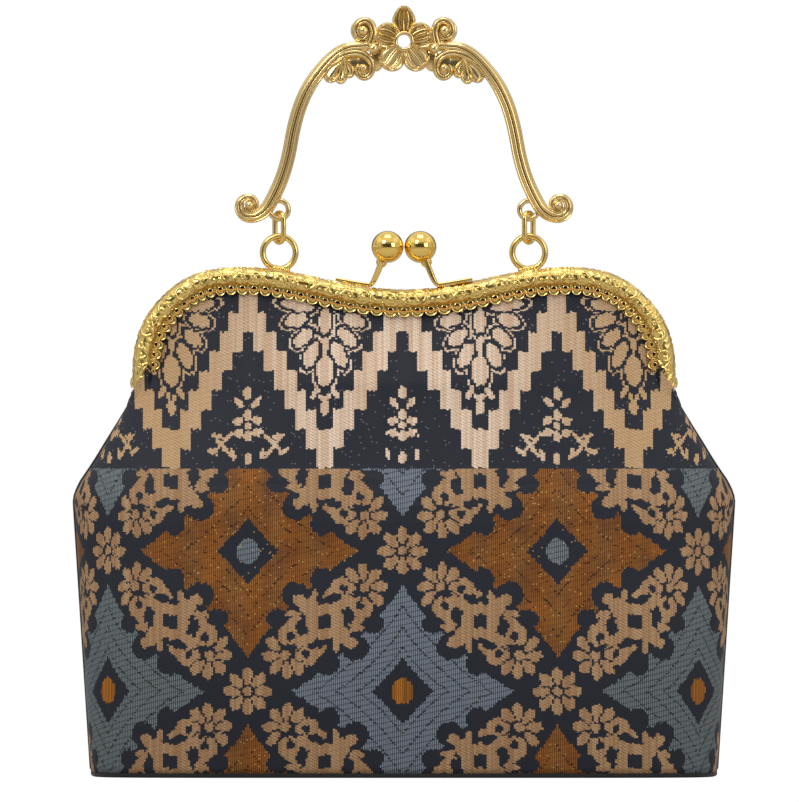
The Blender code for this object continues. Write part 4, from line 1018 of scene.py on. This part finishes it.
def build_flange(side, label):
    """Round lobes with a raised rim, each pierced in the middle."""
    points = []
    faces = []
    for i in range(SCALLOP_COUNT):
        centre = PITCH * (i + 0.5)
        base = len(points)
        for share, edge, root in LOBE_PROFILE:
            for k in range(LOBE_SIDES):
                angle = 2 * math.pi * k / LOBE_SIDES
                dx = math.cos(angle)
                dy = math.sin(angle)
                height = edge if dy > -0.3 else root
                distance = mix(HOLE_RADIUS, lobe_reach(dx, dy), share)
                points.append(on_frame(centre + dx * distance, FLANGE_DEPTH + height * MM,
                                       HOLE_INSIDE + dy * distance, side))
        for r in range(len(LOBE_PROFILE) - 1):
            faces += ring_faces(base + r * LOBE_SIDES, base + (r + 1) * LOBE_SIDES, LOBE_SIDES)
    return smooth(add_mesh(f"{label}_flange_gilt", points, faces), 55)


def build_frame_half(side, label, metal, thread):
    shares = np.linspace(0, 1, FACE_SHARES)
    depth, inside = section_curve(shares)
    turn_depth = np.gradient(inside)
    turn_inside = -np.gradient(depth)
    reach = np.hypot(turn_depth, turn_inside)
    rows = []
    step = PATH_LENGTH / STATIONS
    slot = next(k for k, (place, _) in enumerate(FINE_PATH) if place.x > SLOT_X)
    slot_along = slot / len(FINE_PATH) * PATH_LENGTH
    for i in range(STATIONS + 1):
        along = i * step
        row = []
        for j, share in enumerate(shares):
            # The ornament fills the face seen in front and is mirrored on the tube's top
            across = abs(share - FACE_START) * FACE_LENGTH - SCROLL_HALF_WIDTH
            fade = smoothstep(min(share, 1 - share) / 0.07)
            lift = scroll_relief(along / MM, across) * fade * RELIEF / reach[j]
            from_slot = abs(along - slot_along)
            if side < 0 and from_slot < SLOT_HALF_LENGTH and abs(inside[j] - SLOT_INSIDE) < SLOT_HALF_WIDTH:
                lift = -SLOT_DEPTH / reach[j]
            row.append(on_frame(along, depth[j] + lift * turn_depth[j], inside[j] + lift * turn_inside[j],
                                side))
        rows.append(row)
    tube_face = add_grid("tube_face", rows)
    rows = []
    for i in range(0, STATIONS + 1, 8):
        row = []
        for j in range(0, FACE_SHARES, 5):
            d, q = depth[j], inside[j]
            if 0 < j < FACE_SHARES - 1:
                d, q = max(d - FRAME_WALL, 0.16 * MM), mix(q, 4.0 * MM, 0.2)
            row.append(on_frame(i * step, d, q, side))
        rows.append(row)
    tube_back = add_grid("tube_back", rows)
    flange = build_flange(side, label)
    if side > 0:
        tube_face.data.flip_normals()
        flange.data.flip_normals()
    half = joined(f"{label}_frame_gilt", [tube_face, tube_back])
    wall = flange.modifiers.new("sheet_edge", "SOLIDIFY")
    wall.thickness = 0.4 * MM
    wall.offset = -1
    metal.wear(half)
    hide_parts(f"{label}_frame")
    for piece in (half, flange):
        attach(piece, f"{label}_frame")
    metal.wear(flange)

    # Thread through the holes, on the outside of the flange between each pair
    path = []
    for i in range(THREAD_STEPS * SCALLOP_COUNT - THREAD_STEPS * 2):
        phase = i / THREAD_STEPS + 1.0
        near = abs((phase - 0.5) - round(phase - 0.5))
        lift = mix(-0.1, 0.5, smoothstep(near / 0.16)) * MM
        path.append(on_frame(PITCH * phase, FLANGE_DEPTH + lift, HOLE_INSIDE + 0.5 * MM, side))
    stitch = tube(f"{label}_sewing_thread", path, round_bar(0.26 * MM, 8))
    thread.wear(stitch)
    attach(stitch, f"{label}_frame")


# Kiss lock


def build_clasp(side, label, metal, polished):
    turn = -side
    centre = Vector((turn * (BALL_RADIUS + 0.15 * MM), -side * 0.8 * MM, BALL_HEIGHT))
    knob = ball(f"{label}_clasp_ball", centre, BALL_RADIUS, sides=64)
    polished.wear(knob)
    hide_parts(f"{label}_kiss_ball")
    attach(knob, f"{label}_frame")

    def on_top(x):
        """Middle of the arm's foot where it lies on the frame's top."""
        return Vector((turn * x * MM, side * TUBE_DEPTH * 0.34, frame_top(x * MM) + 1.05 * MM))

    bend = on_top(12)
    foot = [on_top(x) for x in np.linspace(26.0, 13.6, 16)]
    direction = (bend - centre).normalized()
    top = centre + direction * (BALL_RADIUS - 0.2 * MM)
    rise = [bezier(foot[-1], bend, bend - direction * 1.5 * MM, top, k / 14) for k in range(1, 15)]
    section = []
    for k in range(16):
        angle = 2 * math.pi * (k + 0.5) / 16
        x = math.copysign(abs(math.cos(angle)) ** 0.5, math.cos(angle))
        y = math.copysign(abs(math.sin(angle)) ** 0.5, math.sin(angle))
        section.append((x * 0.8 * MM, y * 1.6 * MM))
    arm = tube("arm", foot + rise, section,
               scale=lambda t: mix(0.8, 1.0, smoothstep(t * 5)) * mix(1.0, 1.5, smoothstep(t * 2.2 - 1.2)))
    collar = ball("collar", top + direction * 0.4 * MM, 2.1 * MM, sides=20)
    whole = joined(f"{label}_clasp_arm", [arm, collar])
    metal.wear(whole)
    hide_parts(f"{label}_kiss_arm")
    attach(whole, f"{label}_frame")


# Rings, links and handle


def circle_path(centre, radius, count):
    angles = [2 * math.pi * k / count for k in range(count)]
    return [centre + Vector((math.sin(a), 0, math.cos(a))) * radius for a in angles]


def build_ring(sign, label, metal):
    middle = RING_OUTER_RADIUS - RING_WIRE_RADIUS
    centre = Vector((sign * RING_X, CARRIER_DEPTH, RING_PIVOT_HEIGHT - middle))
    path = circle_path(centre, middle, 72)
    parts = [tube("ring", path, round_bar(RING_WIRE_RADIUS + 0.1 * MM, 16), closed=True)]
    for k, (shift, size) in enumerate(((-3.0, 1.15), (-1.6, 1.45), (0.0, 1.3), (1.6, 1.45), (3.0, 1.15))):
        x = sign * RING_X + shift * MM
        blob = ball(f"solder_{k}", Vector((x, CARRIER_DEPTH, frame_top(x) + 0.62 * MM)), size * MM, sides=16)
        parts.append(blob)
    whole = joined(f"{label}_ring_gilt", parts)
    # The solder's underside follows the frame's top
    for vertex in whole.data.vertices:
        vertex.co.z = max(vertex.co.z, frame_top(vertex.co.x) + 0.05 * MM)
    metal.wear(whole)
    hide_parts(f"{label}_frame_ring")
    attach(whole, "back_frame")


def build_link(sign, label, metal):
    turn = sign * LINK_TURN
    across = Vector((math.sin(turn), math.cos(turn), 0))
    path = []
    for height, start in ((HANDLE_PIVOT_HEIGHT, 0.0), (RING_PIVOT_HEIGHT, math.pi)):
        for k in range(25):
            angle = start + math.pi * k / 24
            end = Vector((sign * RING_X, CARRIER_DEPTH, height + math.sin(angle) * 2.35 * MM))
            path.append(end + across * math.cos(angle) * 3.3 * MM)
    flat_way = Vector((math.cos(turn), -math.sin(turn), 0))
    link = tube(f"{label}_link_gilt", path, round_bar(1.0 * MM, 16), closed=True, up=flat_way)
    metal.wear(link)
    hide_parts(f"{label}_link")
    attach(link, f"{label}_link")


def handle_leg_path():
    """Line of the right leg from the middle of its scroll foot up to the flower."""
    middle = Vector((58.9 * MM, CARRIER_DEPTH, HANDLE_PIVOT_HEIGHT + 5.1 * MM))
    points = []
    turns = 1.2
    for k in range(73):
        share = k / 72
        angle = -math.pi / 2 + 2 * math.pi * turns * (1 - share)
        points.append(middle + Vector((math.cos(angle), 0, math.sin(angle))) * mix(1.5, 4.4, share) * MM)

    def knot(x, rise, way_x, way_z):
        place = Vector((x * MM, CARRIER_DEPTH, HANDLE_PIVOT_HEIGHT + rise * MM))
        return place, Vector((way_x, 0, way_z)).normalized()

    knots = [
        (points.pop(), Vector((-1, 0, 0))),
        knot(51.2, 5.6, -0.5, 0.87),
        knot(43.1, 28.6, -0.17, 0.98),
        knot(32.3, 56.0, -0.62, 0.78),
        knot(18.5, 65.6, -1, 0.05),
        knot(7.0, 66.1, -1, 0),
    ]
    return points + flowing(knots, 0.36, 30)


def ribbed_section(width, depth, ribs=3, sides=48):
    """Flat oval whose front and back carry rounded ribs with narrow grooves."""
    section = []
    for k in range(sides):
        angle = 2 * math.pi * k / sides
        x = math.cos(angle)
        face = abs(math.sin(angle)) ** 0.5
        rib = abs(math.cos(math.pi * ribs * (x + 1) / 2 + math.pi / 2 * (ribs + 1)))
        cut = (1 - rib) ** 2
        section.append((x * width / 2, math.copysign(abs(math.sin(angle)) ** 0.8, math.sin(angle))
                        * (depth / 2 - cut * 0.9 * MM * face)))
    return section


def petal_sheet(name, centre, angle, reach, width, ribs, point, thick=1.7, first=0.0):
    """Cast petal: a rim bead round radial ribs and grooves, on a rounded outline."""
    way = Vector((math.sin(angle), 0, math.cos(angle)))
    across = Vector((math.cos(angle), 0, -math.sin(angle)))
    rows = []

    def half_at(t):
        outline = 1.0
        if t > 0.62:
            end = (t - 0.62) / 0.38
            outline = mix(math.sqrt(max(0.0, 1 - end**2)), (1 - end) ** 0.8, point)
        return width / 2 * mix(0.36, 1.0, smoothstep(t / 0.62)) * outline

    for i in range(PETAL_ALONG):
        t = mix(first, 1.0, i / (PETAL_ALONG - 1))
        row = []
        half = max(half_at(t), 0.02 * MM)
        for j in range(PETAL_ACROSS):
            s = 2 * j / (PETAL_ACROSS - 1) - 1
            edge = min((1 - abs(s)) * half, (1 - t) * reach) / MM
            rim = math.exp(-(((edge - 0.75) / 0.5) ** 2)) * 0.85
            falloff = min(1.0, edge / 0.55)
            flute = (0.5 + 0.5 * math.cos(math.pi * ribs * s)) ** 1.4
            inner = smoothstep((edge - 1.2) / 0.8)
            dish = 0.55 * math.sin(math.pi * min(1.0, t * 1.05)) * (1 - s * s)
            height = falloff * (0.5 + rim + inner * flute * 0.95 - inner * dish)
            place = centre + way * reach * t + across * half * s
            row.append(place + Vector((0, -(thick - 1.0 + height) * MM, 0)))
        rows.append(row)
    front = add_grid(name, rows)
    border = [row[0] for row in rows] + rows[-1] + [row[-1] for row in reversed(rows)]
    wall = [(x, centre.y + thick * 0.7 * MM, z) for x, _, z in border]
    skirt = add_grid(f"{name}_skirt", [border, wall])
    cap = add_mesh(f"{name}_cap", wall, [tuple(range(len(wall)))])
    return joined(name, [front, skirt, cap])


# Places of the volutes in millimetres from the flower's middle, on the right side
UPPER_VOLUTE = [(12.9, -1.6), (11.9, 1.6), (11.8, 4.4), (12.9, 7.0), (15.2, 7.9), (17.3, 6.8), (18.3, 4.4),
                (17.5, 2.1), (15.6, 1.5), (14.4, 2.6)]
LOWER_VOLUTE = [(29.8, -10.8), (26.8, -7.4), (23.4, -5.4), (19.8, -4.5), (16.4, -4.7), (13.5, -6.4),
                (12.2, -9.2), (12.7, -12.2), (14.8, -13.8), (17.0, -13.0), (17.7, -10.9), (16.7, -9.1)]

# The upper scroll ends in a ball, the lower one grows from the leg: name, places, steps, width, scale along
# it, end ball's place and end ball's radius
VOLUTES = [
    ("upper_volute", UPPER_VOLUTE, 90, 3.1, lambda t: 1.1 - 0.35 * t, (15.5, -0.6, 4.1), 2.0),
    ("lower_volute", LOWER_VOLUTE, 120, 3.0,
     lambda t: 0.55 + 0.5 * smoothstep(t * 4) - 0.35 * smoothstep(t * 1.6 - 0.6), (15.3, -0.5, -10.0), 1.5),
]
# Cast web behind the scrolls: x, z, half width and half height
WEBS = [(15.3, 4.2, 5.0, 5.0), (15.2, -9.4, 4.6, 5.2), (19.2, -9.0, 4.4, 3.6), (10.5, -6.8, 2.9, 4.6),
        (11.2, 0.6, 2.6, 4.6)]
# Petals of the flower from the top one round: length, width, ribs and how pointed
PETALS = [(13.8, 9.0, 5, 0.4), (11.4, 10.4, 5, 0.0), (12.9, 10.2, 3, 0.0), (12.9, 10.2, 3, 0.0),
          (11.4, 10.4, 5, 0.0)]
PETAL_ALONG = 40
PETAL_ACROSS = 33


def through(table, crest):
    """Smooth line through places given from the flower's middle."""
    knots = [crest + Vector((x, 0, z)) * MM for x, z in table]
    points = []
    for i in range(len(knots) - 1):
        before = knots[max(i - 1, 0)]
        after = knots[min(i + 2, len(knots) - 1)]
        start, end = knots[i], knots[i + 1]
        for k in range(12):
            points.append(bezier(start, start + (end - before) / 6, end - (after - start) / 6, end, k / 12))
    points.append(knots[-1])
    return points


def leg_taper(share):
    return 0.4 + 0.6 * smoothstep(share / 0.3) - 0.28 * smoothstep(share * 3 - 2)


def build_handle(metal):
    y = CARRIER_DEPTH
    crest = Vector((0, y, FLOWER_HEIGHT))
    parts = []
    for k, (reach, width, ribs, point) in enumerate(PETALS):
        turn = 2 * math.pi * k / len(PETALS)
        parts.append(petal_sheet(f"petal_{k}", crest, turn, reach * MM, width * MM, ribs, point,
                                 first=2.75 / reach))
    rim = circle_path(crest + Vector((0, -1.9 * MM, 0)), 3.2 * MM, 64)
    parts.append(tube("hole_rim", rim, round_bar(0.75 * MM), closed=True))
    wall = [(-0.45 * MM, -2.0 * MM), (0.6 * MM, -2.0 * MM), (0.6 * MM, 1.6 * MM), (-0.45 * MM, 1.6 * MM)]
    parts.append(tube("bore", circle_path(crest, 3.1 * MM, 64), wall, closed=True))
    leg = [place for place, _ in resample(handle_leg_path(), 190)]
    for sign, label in ((-1, "left"), (1, "right")):

        def side_path(points):
            return [Vector((sign * p.x, p.y, p.z)) for p in points]

        def from_crest(x, depth, z):
            return crest + Vector((sign * x, depth, z)) * MM

        bar = ribbed_section(5.3 * MM, 4.3 * MM)
        parts.append(tube(f"leg_{label}", side_path(leg), bar, scale=leg_taper))
        end = Vector((sign * 58.8 * MM, y - 0.4 * MM, HANDLE_PIVOT_HEIGHT + 5.2 * MM))
        parts.append(ball(f"scroll_end_{label}", end, 1.7 * MM))
        eye = Vector((sign * RING_X, y, HANDLE_PIVOT_HEIGHT + 3.5 * MM))
        parts.append(tube(f"eye_{label}", circle_path(eye, 3.5 * MM, 56), round_bar(1.0 * MM), closed=True))
        for name, table, steps, wide, scale, tip, radius in VOLUTES:
            line = [place for place, _ in resample(through(table, crest), steps)]
            section = ribbed_section(wide * MM, 3.6 * MM, 2, 32)
            parts.append(tube(f"{name}_{label}", side_path(line), section, scale=scale))
            parts.append(ball(f"{name}_end_{label}", from_crest(*tip), radius * MM))
        parts.append(ball(f"bead_{label}", from_crest(11.6, -1.2, -2.7), 2.05 * MM))
        leaf = from_crest(22.8, 0.4, -6.2)
        for k, (tilt, long, wide) in enumerate(((-0.55, 8.2, 4.6), (-0.05, 10.2, 5.4), (0.42, 11.4, 6.4))):
            parts.append(petal_sheet(f"shell_{label}_{k}", leaf, math.pi - sign * (0.22 + tilt), long * MM,
                                     wide * MM, 1, 0.0, 1.5 + 0.1 * k))
        for k, (x, z, size, high) in enumerate(WEBS):
            web = ball(f"web_{label}_{k}", Vector((0, 0, 0)), 1.0 * MM, sides=32)
            web.data.transform(Matrix.Diagonal((size, 1.1, high, 1)))
            web.data.transform(Matrix.Translation(from_crest(x, 0.9, z)))
            parts.append(web)
    handle = joined("handle_cast", parts)
    metal.wear(handle)
    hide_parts("handle")
    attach(handle, "handle")


# Room: white floor, lamps and a world that is white to the camera

LAMP_COLOUR = (1.0, 0.985, 0.96)
CAMERA_DISTANCE = 4.0
VIEW_HEIGHT = 0.3048


def build_room():
    floor = add_mesh("floor", [(-6, -6, 0), (6, -6, 0), (6, 6, 0), (-6, 6, 0)], [(0, 1, 2, 3)])
    shade = Shade("white_floor", "floor")
    glow = shade.node("ShaderNodeEmission")
    shade.feed(glow.inputs["Strength"], 1.12)
    shade.show(shade.tree.nodes["Material Output"], 0.86, shade.shader, glow)
    shade.put(Base_Color=(0.5, 0.49, 0.48), Roughness=0.9)
    floor.data.materials.append(shade.material)

    world = bpy.data.worlds.new("studio")
    bpy.context.scene.world = world
    world.use_nodes = True
    studio = Nodes(world.node_tree)
    studio.tree.nodes.clear()
    output = studio.node("ShaderNodeOutputWorld")
    aside, toward, height = studio.split(studio.node("ShaderNodeTexCoord").outputs["Generated"])
    # Soft boxes high up and at both sides; a dark wall behind the camera
    top = ((height - 0.35) * 3.0).kept()
    sides = ((aside.size() - 0.55) * 4.0).kept()
    behind = ((toward * -1.0 - 0.75) * 5.0).kept()
    soft = studio.node("ShaderNodeBackground")
    studio.feed(soft.inputs["Color"], LAMP_COLOUR)
    studio.feed(soft.inputs["Strength"], (top * 0.75) + (sides * 0.5) + 0.16 - (behind * 0.1))
    white = studio.node("ShaderNodeBackground")
    studio.feed(white.inputs["Color"], (1.0, 1.0, 1.0))
    studio.show(output, 1.0, soft, white)

    for name, place, size, power in (
        ("key", (-0.55, -0.9, 0.95), 0.4, 5.0),
        ("fill", (0.8, -0.9, 0.5), 0.5, 2.6),
        ("top", (0.0, -0.1, 1.2), 0.5, 3.0),
    ):
        lamp = bpy.data.lights.new(name, "AREA")
        lamp.size = size
        lamp.energy = power
        lamp.color = LAMP_COLOUR
        obj = placed(name, lamp)
        obj.location = place
        aim = Vector((0, 0, 0.13)) - Vector(place)
        obj.rotation_euler = aim.to_track_quat("-Z", "Y").to_euler()


def build_camera():
    data = bpy.data.cameras.new("camera")
    data.sensor_fit = "VERTICAL"
    data.sensor_height = 36
    data.lens = 36 * CAMERA_DISTANCE / VIEW_HEIGHT
    camera = placed("camera", data)
    camera.location = (-0.0017, -CAMERA_DISTANCE - 0.004, CAMERA_HEIGHT * MM)
    camera.rotation_euler = (math.pi / 2, 0, 0)
    bpy.context.scene.camera = camera


def main():
    pattern = brocade()
    lining = plain_cloth("lining_satin", "lining_cloth", srgb(40, 38, 42), 0.5, 0.45)
    base_cloth = plain_cloth("black_base_cloth", "base_cloth", srgb(18, 18, 20), 0.6, 0.8)
    # The second colour of each gilt is the painted shade in its hollows
    gold = gilt("gilt_plate", "gold_plate", srgb(232, 202, 122), srgb(120, 78, 28), 0.17, GRAIN, 0.9)
    bright = gilt("polished_gilt", "polished_gold", srgb(240, 206, 116), srgb(150, 100, 30), 0.05, 0.0, 0.5)
    cast_gold = gilt("cast_gilt", "gold_plate", srgb(232, 206, 146), srgb(138, 90, 44), 0.16, GRAIN, 0.7)
    build_cloth(pattern, lining)
    build_base(base_cloth, lining)
    board = board_material()
    board_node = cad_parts["base_board"]
    board_node.data.materials.clear()
    board.wear(board_node)
    thread = thread_material()
    for side, label in ((-1, "front"), (1, "back")):
        build_frame_half(side, label, gold, thread)
        build_clasp(side, label, gold, bright)
    for sign, label in ((-1, "left"), (1, "right")):
        build_ring(sign, label, gold)
        build_link(sign, label, gold)
        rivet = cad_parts[f"{label}_hinge_rivet"]
        rivet.data.materials.clear()
        gold.wear(rivet)
    build_handle(cast_gold)
    build_room()
    build_camera()
    bpy.context.scene.view_settings.view_transform = "Standard"


main()
